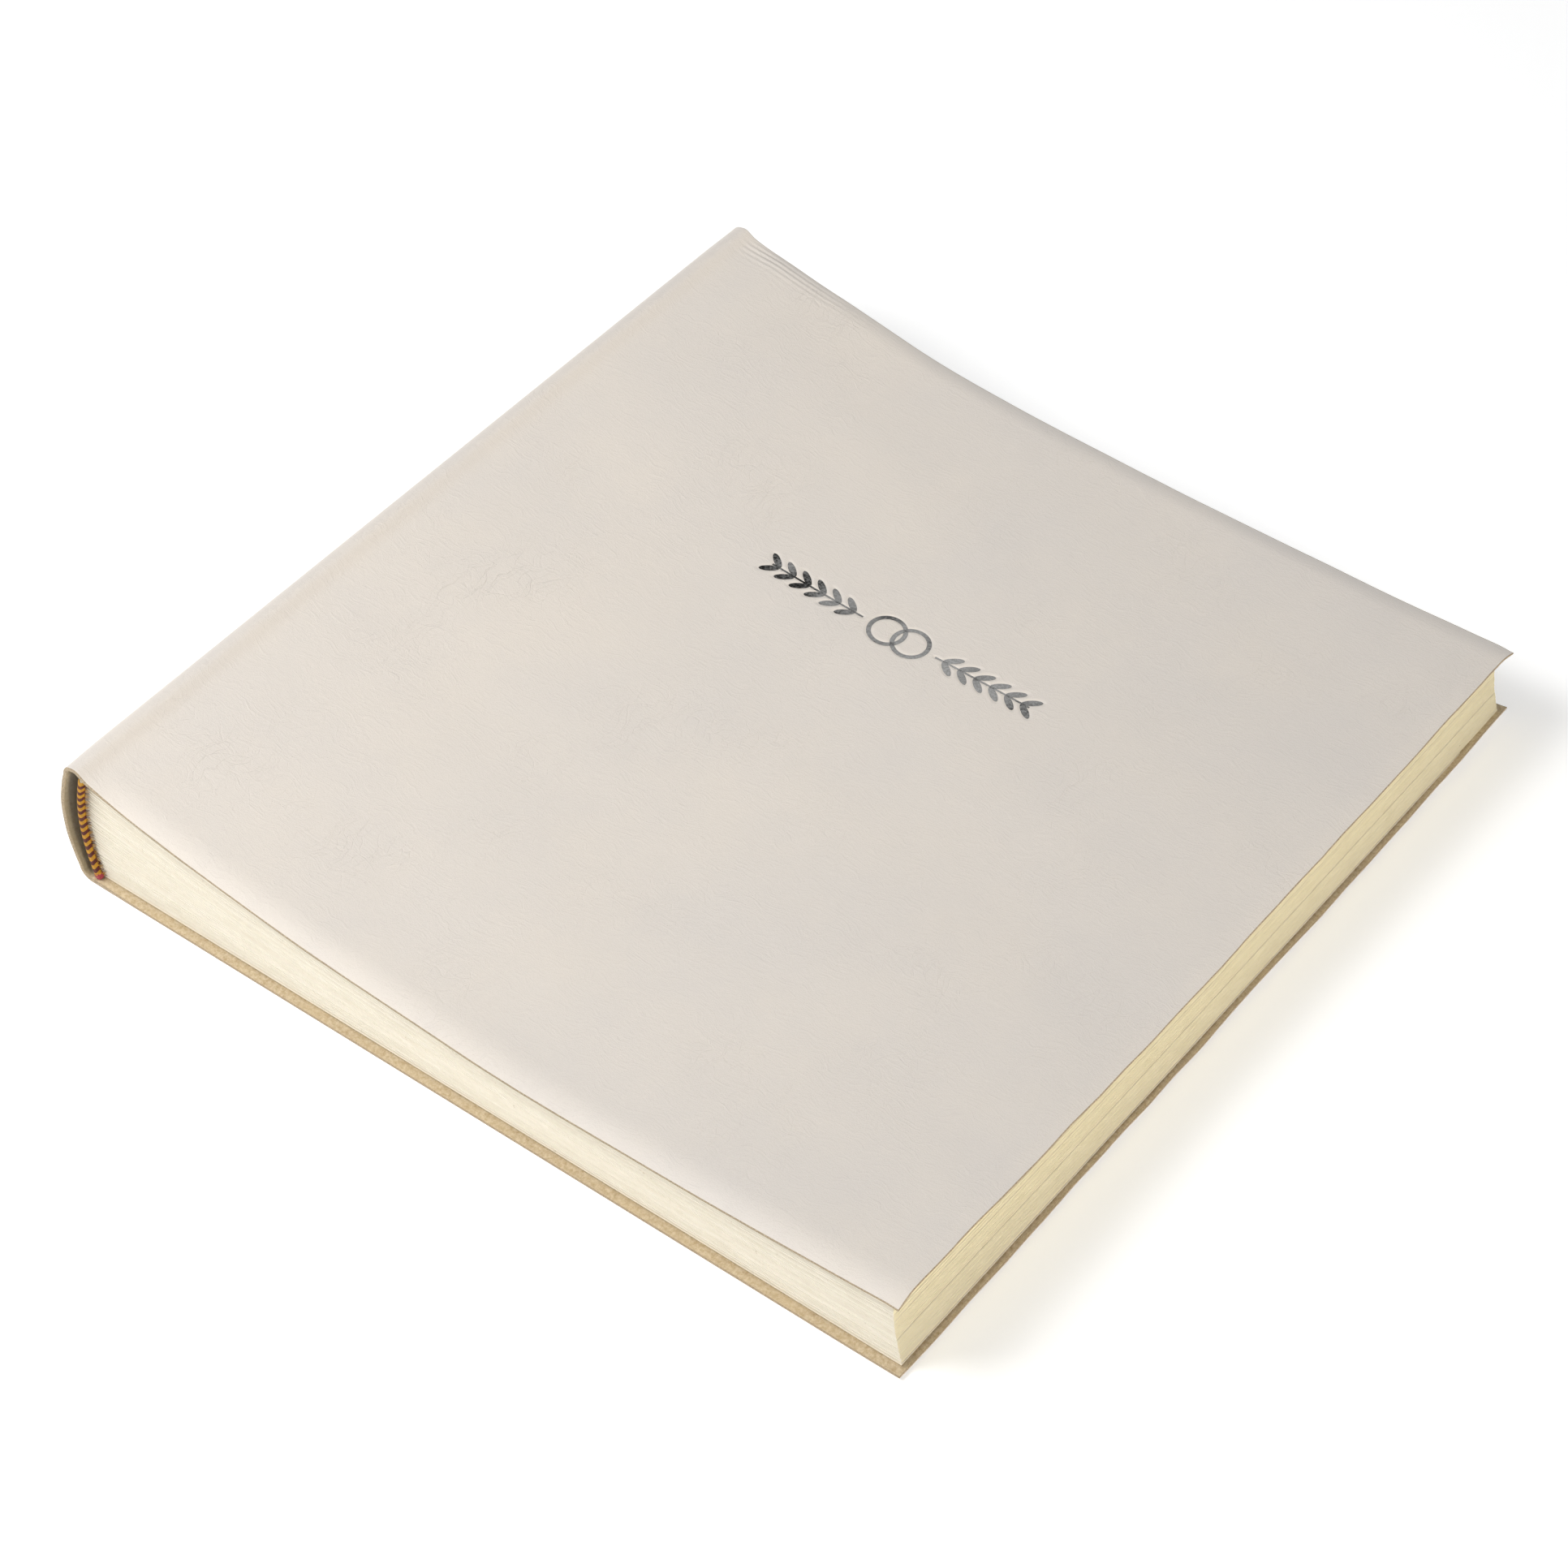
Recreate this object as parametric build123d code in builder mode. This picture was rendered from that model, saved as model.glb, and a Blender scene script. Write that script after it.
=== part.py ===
"""Wedding guest book: a limp leather case around a sewn block of folded sections.

The book lies closed on its back cover.  X runs from the spine to the fore edge, Y from tail to
head, Z up from the table; the origin is under the middle of the closed book.
"""
from build123d import *
import math
import os

os.makedirs("parts", exist_ok=True)

# ---------------------------------------------------------------- driving dimensions (mm)
book_width = 290.0  # outermost point of the round spine to the fore edge of the back cover
book_length = 300.0  # tail edge to head edge of the covers
spine_height = 45.2  # closed height over the shoulders of the spine
settled_height = 22.6  # height that the front cover settles to away from the spine
joint_drop = 1.8  # from the shoulder down to the front cover just past it
drape_run = 62.0  # distance over which the swelling of the folds dies away
shoulder_run = 2.2  # distance over which the shoulder drops into the joint
fore_lift = 1.6  # rise of the front cover's free edge
lift_run = 85.0  # width of the stretch that rises
leather = 1.3  # thickness of the cover leather
spine_bulge = 9.3  # outermost point of the spine to the hinge line of each cover
shoulder_radius = 4.2  # rounding of the spine leather at the shoulder and the heel
spine_crown = 3.4  # how far the middle of the spine stands out past its shoulders
front_setback = 1.1  # front cover's fore edge behind that of the back cover

square = 3.0  # overhang of the covers past the leaves at head and tail
fore_square = 1.9  # overhang of the back cover past the lowest leaf at the fore edge
fore_hollow = 3.0  # how far the fore edge of the block draws back from bottom to top
back_round = 3.0  # rounding of the block at the spine
fold_nose = 0.9  # rounding of each folded section at the spine
section_count = 10  # sewn sections in the block
turning_sections = 4  # upper sections whose leaves turn with the front cover
paper = 0.25  # one endpaper leaf
pastedown_margin = 3.2  # leather left bare around each pastedown
gutter = 7.0  # hinge line of the covers to the crease where the leaves bend

hinge_gap = 0.3  # half of the slit left along each living hinge
leaf_gap = 0.3  # air between pieces that turn apart
glue_gap = 0.05  # air between pieces that are glued or sewn together
fold_gap = 0.15  # air between the folds of the sections and what is sewn across them

hollow_back = 3.3  # room between the spine leather and the lined spine of the block
liner = 0.3  # kraft lining of the spine
mull = 0.35  # open cotton cloth under the lining
mull_margin = 12.0  # mull stops short of the head and the tail of the block
tape = 0.4  # thickness of a sewing tape
tape_width = 13.0
tape_count = 3
tape_pitch = 80.0
stitch = 0.4  # thickness of the kettle stitches
stitch_width = 1.2
stitch_inset = 14.0  # kettle stitches in from the head and the tail of the block

headband_core = 1.5  # diameter of the headband's core
headband_silk = 0.4  # thickness of the silk wound round the core

ornament_x = 0.0  # centre of the stamped ornament on the front cover
ornament_y = 46.0
ring_radius = 6.2  # outer radius of each stamped ring
ring_line = 1.5  # width of the stamped line
ring_spacing = 8.4  # between the centres of the two rings
sprig_length = 33.0  # each sprig of leaves beside the rings
sprig_gap = 2.6  # between a ring and its sprig
leaf_pairs = 6
leaf_length = 6.4
leaf_width = 2.3
leaf_slant = 38.0  # degrees between a leaf and the stem
stem_line = 0.8
stamp_depth = 0.25
foil = 0.12

# ---------------------------------------------------------------- worked-out places
joint_height = spine_height - joint_drop
x_spine = -book_width / 2
x_fore = book_width / 2
x_hinge = x_spine + spine_bulge
x_crease = x_hinge + gutter
x_block = x_spine + leather + hollow_back + liner + mull + max(tape, stitch) + 2 * glue_gap + fold_gap
half_cover = book_length / 2
half_leaf = half_cover - square

z_pastedown = leather + glue_gap
z_flyleaf = z_pastedown + paper + leaf_gap
z_block = z_flyleaf + paper + leaf_gap
endpapers = leather + glue_gap + 2 * paper + 2 * leaf_gap  # from the cover's face down to the block


def settle(x):
    """Height of the swelling under the front cover, without its shoulder."""
    swell = (joint_height - settled_height) * math.exp(-(x - x_hinge) / drape_run)
    lift = fore_lift * max(0.0, (x - x_fore + lift_run) / lift_run) ** 2
    return settled_height + swell + lift


def cover_face(x):
    """Height of the front cover's outer face, with the shoulder beside its hinge."""
    shoulder = (spine_height - joint_height) * math.exp(-(x - x_hinge) / shoulder_run)
    return settle(x) + shoulder


def block_top(x):
    """Height of the top of the sewn block."""
    return settle(x) - endpapers


def block_face(share):
    """Heights of the face that lies at this share of the block, from 0 below to 1 on top."""
    return lambda x: z_block + share * (block_top(x) - z_block)


def spine_edge(share):
    """Where the rounded spine edge of the block lies at this share of its thickness."""
    return x_block + back_round * (2 * share - 1) ** 2


def fore_edge(share):
    """Where the hollow fore edge of the block lies at this share of its thickness."""
    return x_fore - fore_square - fore_hollow * (1 - (1 - share) ** 2)


def stations(start, end):
    """Places from start to end that are closer together near the spine, where the curves turn."""
    count = 20
    return [start + (end - start) * (step / count) ** 2 for step in range(count + 1)]


def face_curve(height, start, end):
    """The points of the curve that a face with this height draws between two places."""
    return [(x, height(x)) for x in stations(start, end)]


def sheet_profile(lower, upper, start, end):
    """Closes the outline between two faces, both running from start to end."""
    under = face_curve(lower, start, end)
    over = face_curve(upper, start, end)
    Spline(*under)
    Line(under[-1], over[-1])
    Spline(*over)
    Line(over[0], under[0])


def keep(piece, name):
    """Labels a finished piece and writes it out."""
    piece.label = name
    export_step(piece, f"parts/{name}.step")


# ---------------------------------------------------------------- spine leather
x_shoulder = x_spine + spine_crown
spine_middle = spine_height / 2


def spine_outline(inset, reach):
    """Outline of the round spine, set in from its outer face and open towards the block."""
    radius = shoulder_radius - inset
    top, bottom = spine_height - inset, inset
    left, bend = x_spine + inset, x_shoulder + inset
    upper = (bend + radius, top)
    lower = (bend + radius, bottom)
    Line((reach, top), upper)
    turn = radius * (1 - math.sqrt(0.5))
    ThreePointArc(upper, (bend + turn, top - turn), (bend, top - radius))
    ThreePointArc((bend, top - radius), (left, spine_middle), (bend, bottom + radius))
    ThreePointArc((bend, bottom + radius), (bend + turn, bottom + turn), lower)
    Line(lower, (reach, bottom))
    Line((reach, bottom), (reach, top))


spine_end = x_hinge - hinge_gap
with BuildPart() as spine_leather:
    with BuildSketch(Plane.XZ):
        with BuildLine():
            spine_outline(0.0, spine_end)
        make_face()
        with BuildLine():
            spine_outline(leather, spine_end + leather)
        make_face(mode=Mode.SUBTRACT)
    extrude(amount=half_cover, both=True)
keep(spine_leather.part, "spine_leather")

# ---------------------------------------------------------------- the stamped ornament's outline
ring_reach = ring_spacing / 2 + ring_radius
with BuildSketch(Plane.XY) as ring:
    Circle(ring_radius)
    Circle(ring_radius - ring_line, mode=Mode.SUBTRACT)
with BuildSketch(Plane.XY) as ornament:
    with Locations((ornament_x - ring_spacing / 2, ornament_y), (ornament_x + ring_spacing / 2, ornament_y)):
        add(ring.sketch)
    for side in (-1, 1):
        root = ornament_x + side * (ring_reach + sprig_gap)
        stem_middle = root + side * sprig_length / 2
        with Locations((stem_middle, ornament_y)):
            Rectangle(sprig_length, stem_line)
        for pair in range(leaf_pairs):
            foot = root + side * sprig_length * (pair + 0.5) / leaf_pairs
            for above in (-1, 1):
                reach = leaf_length / 2
                slant = math.radians(leaf_slant)
                middle = (foot + side * reach * math.cos(slant), ornament_y + above * reach * math.sin(slant))
                with Locations(Location(middle, side * above * leaf_slant)):
                    Ellipse(leaf_length / 2, leaf_width / 2)

# ---------------------------------------------------------------- front cover
front_edge = x_fore - front_setback
panel_start = x_hinge + hinge_gap


def under_cover(depth):
    """The face that lies this far under the front cover's outer face."""
    return lambda x: cover_face(x) - depth


def foil_layer(top, bottom):
    """The ornament's shape between two depths under the front cover's outer face."""
    with BuildPart() as layer:
        with BuildSketch(Plane.XZ):
            with BuildLine():
                sheet_profile(under_cover(bottom), under_cover(top), panel_start, front_edge)
            make_face()
        extrude(amount=half_cover, both=True)
        extrude(ornament.sketch, amount=spine_height, mode=Mode.INTERSECT)
    return layer.part


with BuildPart() as front_cover_leather:
    with BuildSketch(Plane.XZ):
        with BuildLine():
            sheet_profile(under_cover(leather), under_cover(0.0), panel_start, front_edge)
        make_face()
    extrude(amount=half_cover, both=True)
    add(foil_layer(-stamp_depth, stamp_depth), mode=Mode.SUBTRACT)
keep(front_cover_leather.part, "front_cover_leather")

keep(foil_layer(stamp_depth - foil, stamp_depth), "foil_ornament")

pastedown_start = x_crease - pastedown_margin
with BuildPart() as front_pastedown:
    with BuildSketch(Plane.XZ):
        with BuildLine():
            top = leather + glue_gap
            sheet_profile(under_cover(top + paper), under_cover(top), pastedown_start,
                          front_edge - pastedown_margin)
        make_face()
    extrude(amount=half_cover - pastedown_margin, both=True)
keep(front_pastedown.part, "front_pastedown")

# ---------------------------------------------------------------- back cover
with BuildPart() as back_cover_leather:
    with BuildSketch(Plane.XY):
        with Locations(((panel_start + x_fore) / 2, 0)):
            Rectangle(x_fore - panel_start, book_length)
    extrude(amount=leather)
keep(back_cover_leather.part, "back_cover_leather")

pastedown_end = x_fore - pastedown_margin
with BuildPart() as back_pastedown:
    with BuildSketch(Plane.XY.offset(z_pastedown)):
        with Locations(((pastedown_start + pastedown_end) / 2, 0)):
            Rectangle(pastedown_end - pastedown_start, book_length - 2 * pastedown_margin)
    extrude(amount=paper)
keep(back_pastedown.part, "back_pastedown")

# ---------------------------------------------------------------- flyleaves
leaf_start = x_crease + hinge_gap
stub_end = x_crease - hinge_gap


def flat_leaf(start, end):
    """A flyleaf's rectangle in plan, between two places along X."""
    with Locations(((start + end) / 2, 0)):
        Rectangle(end - start, 2 * half_leaf)


for name, start, end in (("back_flyleaf", leaf_start, fore_edge(0)),
                         ("back_flyleaf_stub", spine_edge(0) + fold_nose, stub_end)):
    with BuildPart() as leaf:
        with BuildSketch(Plane.XY.offset(z_flyleaf)):
            flat_leaf(start, end)
        extrude(amount=paper)
    keep(leaf.part, name)


def over_block(rise):
    """The face that lies this far above the sewn block."""
    return lambda x: block_top(x) + rise


for name, start, end in (("front_flyleaf", leaf_start, fore_edge(1)),
                         ("front_flyleaf_stub", spine_edge(1) + fold_nose, stub_end)):
    with BuildPart() as leaf:
        with BuildSketch(Plane.XZ):
            with BuildLine():
                sheet_profile(over_block(glue_gap), over_block(glue_gap + paper), start, end)
            make_face()
        extrude(amount=half_leaf, both=True)
    keep(leaf.part, name)


# ---------------------------------------------------------------- sewn sections
def section_faces(index):
    """The lower and upper face of a section, the first being on top of the block."""
    upper = 1 - index / section_count
    lower = 1 - (index + 1) / section_count
    air = leaf_gap if index <= turning_sections else glue_gap
    over, under = block_face(upper), block_face(lower)
    return lower, upper, under, lambda x: over(x) - air


def folded_edge(lower, upper, under, over):
    """The rounded fold of a section, drawn from its lower face to its upper face."""
    low_x, high_x = spine_edge(lower) + fold_nose, spine_edge(upper) + fold_nose
    middle = (lower + upper) / 2
    nose_x = spine_edge(middle)
    nose = (nose_x, (under(nose_x) + over(nose_x)) / 2)
    ThreePointArc((low_x, under(low_x)), nose, (high_x, over(high_x)))
    return low_x, high_x


def section_profile(index, end_low, end_high):
    """A section from its fold to the given ends of its lower and upper face."""
    lower, upper, under, over = section_faces(index)
    low_x, high_x = folded_edge(lower, upper, under, over)
    below = face_curve(under, low_x, end_low)
    above = face_curve(over, high_x, end_high)
    Spline(*below)
    Line(below[-1], above[-1])
    Spline(*above)


def leaves_profile(index):
    """The turning leaves of a section, from the crease to the fore edge."""
    lower, upper, under, over = section_faces(index)
    below = face_curve(under, leaf_start, fore_edge(lower))
    above = face_curve(over, leaf_start, fore_edge(upper))
    Spline(*below)
    Line(below[-1], above[-1])
    Spline(*above)
    Line(above[0], below[0])


for index in range(section_count):
    turns = index < turning_sections
    name = f"section_{index + 1:02d}"
    lower, upper = section_faces(index)[:2]
    ends = (stub_end, stub_end) if turns else (fore_edge(lower), fore_edge(upper))
    with BuildPart() as section:
        with BuildSketch(Plane.XZ):
            with BuildLine():
                section_profile(index, *ends)
            make_face()
        extrude(amount=half_leaf, both=True)
    keep(section.part, f"{name}_fold" if turns else name)
    if turns:
        with BuildPart() as leaves:
            with BuildSketch(Plane.XZ):
                with BuildLine():
                    leaves_profile(index)
                make_face()
            extrude(amount=half_leaf, both=True)
        keep(leaves.part, f"{name}_leaves")

# ---------------------------------------------------------------- spine linings, tapes and stitches
z_low = z_block
z_high = block_top(x_block + back_round)
z_mid = (z_low + z_high) / 2


def spine_arc(offset):
    """Three points of the rounded spine of the block, moved out from it by offset."""
    return ((x_block + back_round - offset, z_low), (x_block - offset, z_mid),
            (x_block + back_round - offset, z_high))


def spine_band(inner, thickness):
    """Outline of a band that lies on the rounded spine."""
    near, far = spine_arc(inner), spine_arc(inner + thickness)
    ThreePointArc(*near)
    Line(near[2], far[2])
    ThreePointArc(*far)
    Line(far[0], near[0])


def band_piece(inner, thickness, width, centres):
    """Bands across the spine, each of this width along Y, about the given centres."""
    with BuildPart() as band:
        for centre in centres:
            with BuildSketch(Plane.XZ.offset(-centre)):
                with BuildLine():
                    spine_band(inner, thickness)
                make_face()
            extrude(amount=width / 2, both=True)
    return band.part


tape_places = [tape_pitch * (number - (tape_count - 1) / 2) for number in range(tape_count)]
stitch_place = half_leaf - stitch_inset
mull_width = 2 * (half_leaf - mull_margin)
mull_inner = fold_gap + max(tape, stitch) + glue_gap
liner_inner = mull_inner + mull + glue_gap

keep(band_piece(fold_gap, tape, tape_width, tape_places), "sewing_tapes")
keep(band_piece(fold_gap, stitch, stitch_width, (-stitch_place, stitch_place)), "kettle_stitches")
keep(band_piece(mull_inner, mull, mull_width, (0.0,)), "spine_mull")
keep(band_piece(liner_inner, liner, 2 * half_leaf, (0.0,)), "spine_liner")

# ---------------------------------------------------------------- headbands
bead_radius = headband_core / 2 + headband_silk
bead_line = [(x + bead_radius - fold_nose / 2, z) for x, z in spine_arc(0.0)]
for end, side in (("tail", -1), ("head", 1)):
    bead_y = side * (half_leaf + bead_radius + glue_gap)
    with BuildLine(Plane.XZ.offset(-bead_y)) as bead_path:
        ThreePointArc(*bead_line)
    with BuildPart() as core:
        with BuildSketch(Plane(bead_path.line @ 0, z_dir=bead_path.line % 0)):
            Circle(headband_core / 2)
        sweep(path=bead_path.line)
    keep(core.part, f"headband_core_{end}")
    with BuildPart() as silk:
        with BuildSketch(Plane(bead_path.line @ 0, z_dir=bead_path.line % 0)):
            Circle(bead_radius)
            Circle(headband_core / 2, mode=Mode.SUBTRACT)
        sweep(path=bead_path.line)
    keep(silk.part, f"headband_silk_{end}")
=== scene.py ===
"""Looks of a wedding guest book in limp ivory leather, around its packed construction.

The closed book lies on its back cover.  X runs from the spine to the fore edge, Y from tail to
head and Z up.  Lengths in this file are millimetres until a mesh is made, which turns them to
metres.
"""
import logging
import math
import random
from collections.abc import Callable, Sequence
from dataclasses import dataclass, field
from enum import Enum

import bpy
import numpy as np
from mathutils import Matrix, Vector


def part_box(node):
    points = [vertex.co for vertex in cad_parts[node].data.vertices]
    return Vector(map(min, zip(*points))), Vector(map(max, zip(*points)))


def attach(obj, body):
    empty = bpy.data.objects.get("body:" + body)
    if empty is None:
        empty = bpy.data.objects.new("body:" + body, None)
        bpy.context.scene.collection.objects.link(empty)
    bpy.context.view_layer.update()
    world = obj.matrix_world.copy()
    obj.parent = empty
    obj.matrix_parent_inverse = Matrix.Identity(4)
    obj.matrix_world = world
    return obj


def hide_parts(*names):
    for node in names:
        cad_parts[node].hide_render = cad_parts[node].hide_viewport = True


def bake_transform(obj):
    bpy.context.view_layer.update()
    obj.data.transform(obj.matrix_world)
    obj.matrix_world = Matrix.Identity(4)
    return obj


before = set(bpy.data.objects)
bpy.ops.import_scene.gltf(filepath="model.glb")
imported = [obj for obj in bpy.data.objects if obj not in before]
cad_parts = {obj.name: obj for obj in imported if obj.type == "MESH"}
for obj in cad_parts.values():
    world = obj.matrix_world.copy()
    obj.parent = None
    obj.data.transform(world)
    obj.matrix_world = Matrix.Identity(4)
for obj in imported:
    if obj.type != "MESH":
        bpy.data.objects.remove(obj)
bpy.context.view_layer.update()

MM = 0.001
SEED = 4107

logging.basicConfig(level=logging.INFO, format="%(message)s")
log = logging.getLogger("guest_book")

Point = tuple[float, float, float]
Points = list[Point]


# ------------------------------------------------------------------ sizes read from the frame
def span(node: str, axis: int) -> tuple[float, float]:
    """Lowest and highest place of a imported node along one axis, in millimetres.

    Args:
        node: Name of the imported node.
        axis: 0 for X, 1 for Y and 2 for Z.

    Returns:
        The two places.
    """
    low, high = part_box(node)
    return low[axis] / MM, high[axis] / MM


def spread(start: float, end: float, count: int) -> list[float]:
    """Even places from start to end, both included.

    Args:
        start: The first place.
        end: The last place.
        count: Number of steps between them.

    Returns:
        The places, one more than there are steps.
    """
    return [start + (end - start) * at / count for at in range(count + 1)]


def ease(value: float) -> float:
    """Smooth step from 0 to 1.

    Args:
        value: Where on the step, which is flat below 0 and above 1.

    Returns:
        The height of the step.
    """
    held = min(1.0, max(0.0, value))
    return held * held * (3 - 2 * held)


@dataclass(frozen=True)
class Waviness:
    """Slow, seeded unevenness: a sum of a few long waves over a flat sheet."""

    seed: int
    size: float
    longest: float
    shortest: float
    waves: int = 7

    def terms(self) -> list[tuple[float, float, float, float]]:
        """Draws the waves.

        Returns:
            The steps along the two ways, the phase and the height of each wave.
        """
        draw = random.Random(self.seed)
        made = []
        for _ in range(self.waves):
            length = math.exp(draw.uniform(math.log(self.shortest), math.log(self.longest)))
            turn = draw.uniform(0, math.pi)
            step = 2 * math.pi / length
            height = self.size * (length / self.longest) ** 0.8 / math.sqrt(self.waves)
            phase = draw.uniform(0, 2 * math.pi)
            made.append((step * math.cos(turn), step * math.sin(turn), phase, height))
        return made

    def field(self) -> Callable[[float, float], float]:
        """The height over the sheet as a function of two places."""
        terms = self.terms()
        return lambda u, v: sum(h * math.sin(a * u + b * v + p) for a, b, p, h in terms)


HIDE_WAVES = Waviness(SEED, 0.30, 150.0, 38.0).field()


@dataclass(frozen=True)
class BookPlan:
    """Places that every piece shares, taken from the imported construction."""

    width: float = 290.0
    hinge_x: float = span("spine_leather", 0)[1] + 0.3
    crease_x: float = span("section_01_fold", 0)[1] + 0.3
    front_edge_x: float = span("front_cover_leather", 0)[1]
    back_edge_x: float = span("back_cover_leather", 0)[1]
    half_cover: float = span("spine_leather", 1)[1]
    half_leaf: float = span("section_05", 1)[1]
    top_z: float = span("spine_leather", 2)[1]
    skin: float = span("back_cover_leather", 2)[1]
    block_x: float = span("section_05", 0)[0]
    block_low: float = span("section_10", 2)[0]
    paper: float = span("back_flyleaf", 2)[1] - span("back_flyleaf", 2)[0]
    joint_drop: float = 1.8
    settled: float = 22.6
    drape_run: float = 62.0
    shoulder_run: float = 2.2
    fore_lift: float = 1.6
    lift_run: float = 85.0
    back_round: float = 3.0
    fore_square: float = 1.9
    fore_hollow: float = 3.0
    leaf_air: float = 0.3
    stamp_x: float = 0.0
    stamp_y: float = 46.0
    loose_run: float = 18.0
    heap_tail: float = 0.7
    heap_head: float = 1.4
    heap_run: float = 39.0
    heap_reach: float = 28.0
    dip_depth: float = 1.2
    dip_x: float = 10.0
    dip_reach: float = 32.0
    corner_run: float = 112.0
    corner_lift: float = 4.4
    head_lift: float = 0.3

    @property
    def spine_x(self) -> float:
        """The outermost line of the spine."""
        return -self.width / 2

    @property
    def endpapers(self) -> float:
        """Height of leather, endpapers and air over the sewn block."""
        return self.skin + 0.05 + 2 * self.paper + 2 * self.leaf_air

    def settle(self, x: float) -> float:
        """The even swelling under the front cover: high at the spine, with a lift at the fore edge.

        Args:
            x: Place from spine to fore edge.

        Returns:
            Its height.
        """
        full = self.top_z - self.joint_drop - self.settled
        swell = full * math.exp(-(x - self.hinge_x) / self.drape_run)
        lift = self.fore_lift * max(0.0, (x - self.back_edge_x + self.lift_run) / self.lift_run) ** 2
        return self.settled + swell + lift

    def sag(self, x: float, y: float) -> float:
        """How far the limp cover, and the leaves under it, stray from the even swelling.

        The leather heaps a little past the joint, more so at the head, dips in the middle of the
        tail, lifts at the near fore corner and rolls down along its free edges.

        Args:
            x: Place from spine to fore edge.
            y: Place from tail to head.

        Returns:
            The height to add, which is the same for the cover and the topmost leaf.
        """
        run = max(x - self.hinge_x, 0.0)
        headward = ease((y + self.half_cover) / (2 * self.half_cover))
        loose = ease(run / self.loose_run)
        heap = self.heap_tail + self.heap_head * headward
        heap *= math.exp(-((run - self.heap_run) / self.heap_reach) ** 2)
        heap *= ease(run / 5)
        dip = self.dip_depth * (1 - headward) * math.exp(-((x - self.dip_x) / self.dip_reach) ** 2)
        fore = max(0.0, 1 - (self.front_edge_x - x) / self.corner_run) ** 1.5
        corner = self.corner_lift * fore * ease((-28 - y) / 118)
        height = heap + corner + self.head_lift * fore * ease((y + 20) / 120) - dip
        edge = self.half_cover - abs(y)
        roll, reach = (1.9, 8.5) if y < 0 else (1.7, 8.0)
        height += loose * (1.5 - roll * max(0.0, 1 - edge / reach) ** 2)
        return height + loose * HIDE_WAVES(x, y)

    def block_top(self, x: float, y: float = 0.0) -> float:
        """Height of the top of the sewn block at a place."""
        return self.settle(x) + self.sag(x, y) - self.endpapers

    def layer(self, share: float, x: float, y: float = 0.0) -> float:
        """Height of the face that lies at a share of the block's thickness, from 0 below to 1."""
        return self.block_low + share * (self.block_top(x, y) - self.block_low)

    def spine_edge(self, share: float) -> float:
        """Where the rounded spine edge of the block lies at a share of its thickness."""
        return self.block_x + self.back_round * (2 * share - 1) ** 2

    def fore_edge(self, share: float) -> float:
        """Where the hollow fore edge of the block lies at a share of its thickness."""
        return self.back_edge_x - self.fore_square - self.fore_hollow * (1 - (1 - share) ** 2)


PLAN = BookPlan()


# ------------------------------------------------------------------ colours and materials
def linear(code: str) -> tuple[float, float, float, float]:
    """Turns an sRGB hex colour to the linear values that a shader takes.

    Args:
        code: Six hex digits.

    Returns:
        Red, green, blue and an alpha of 1.
    """
    parts = [int(code[at:at + 2], 16) / 255 for at in (0, 2, 4)]
    red, green, blue = (c / 12.92 if c <= 0.04045 else ((c + 0.055) / 1.055) ** 2.4 for c in parts)
    return red, green, blue, 1.0


def scale_of(size_mm: float) -> float:
    """Turns the real size of a pattern to the scale that its texture takes.

    Args:
        size_mm: Size of one repeat, in millimetres.

    Returns:
        Repeats per metre.
    """
    return 1 / (size_mm * MM)


def add_node(tree: bpy.types.NodeTree, kind: str, inputs: dict | None = None,
             **settings: object) -> bpy.types.Node:
    """Adds a shader node with its settings, values and links.

    Args:
        tree: The material's node tree.
        kind: The node's type, without its ShaderNode prefix.
        inputs: Values or output sockets for the inputs, by name or number.
        **settings: Attributes of the node itself.

    Returns:
        The new node.
    """
    node = tree.nodes.new("ShaderNode" + kind)
    for name, value in settings.items():
        setattr(node, name, value)
    for name, value in (inputs or {}).items():
        if isinstance(value, bpy.types.NodeSocket):
            tree.links.new(value, node.inputs[name])
        else:
            node.inputs[name].default_value = value
    return node


def ramp(tree: bpy.types.NodeTree, value: bpy.types.NodeSocket, low: float, high: float,
         to_low: float = 0.0, to_high: float = 1.0) -> bpy.types.NodeSocket:
    """Maps a value from one range to another and holds it at the ends.

    Args:
        tree: The material's node tree.
        value: The socket of the value.
        low: Start of the value's range.
        high: End of the value's range.
        to_low: What the start becomes.
        to_high: What the end becomes.

    Returns:
        The socket of the result.
    """
    inputs = {"Value": value, "From Min": low, "From Max": high, "To Min": to_low, "To Max": to_high}
    return add_node(tree, "MapRange", inputs, clamp=True).outputs["Result"]


def mix(tree: bpy.types.NodeTree, share: bpy.types.NodeSocket | float, first: object,
        second: object, blend: str = "MIX") -> bpy.types.NodeSocket:
    """Mixes two colours.

    Args:
        tree: The material's node tree.
        share: How much of the second, as a value or a socket.
        first: The first colour or its socket.
        second: The second colour or its socket.
        blend: How they are mixed.

    Returns:
        The socket of the result.
    """
    node = add_node(tree, "Mix", data_type="RGBA", blend_type=blend)
    for index, value in ((0, share), (6, first), (7, second)):
        if isinstance(value, bpy.types.NodeSocket):
            tree.links.new(value, node.inputs[index])
        else:
            node.inputs[index].default_value = value
    return node.outputs[2]


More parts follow.
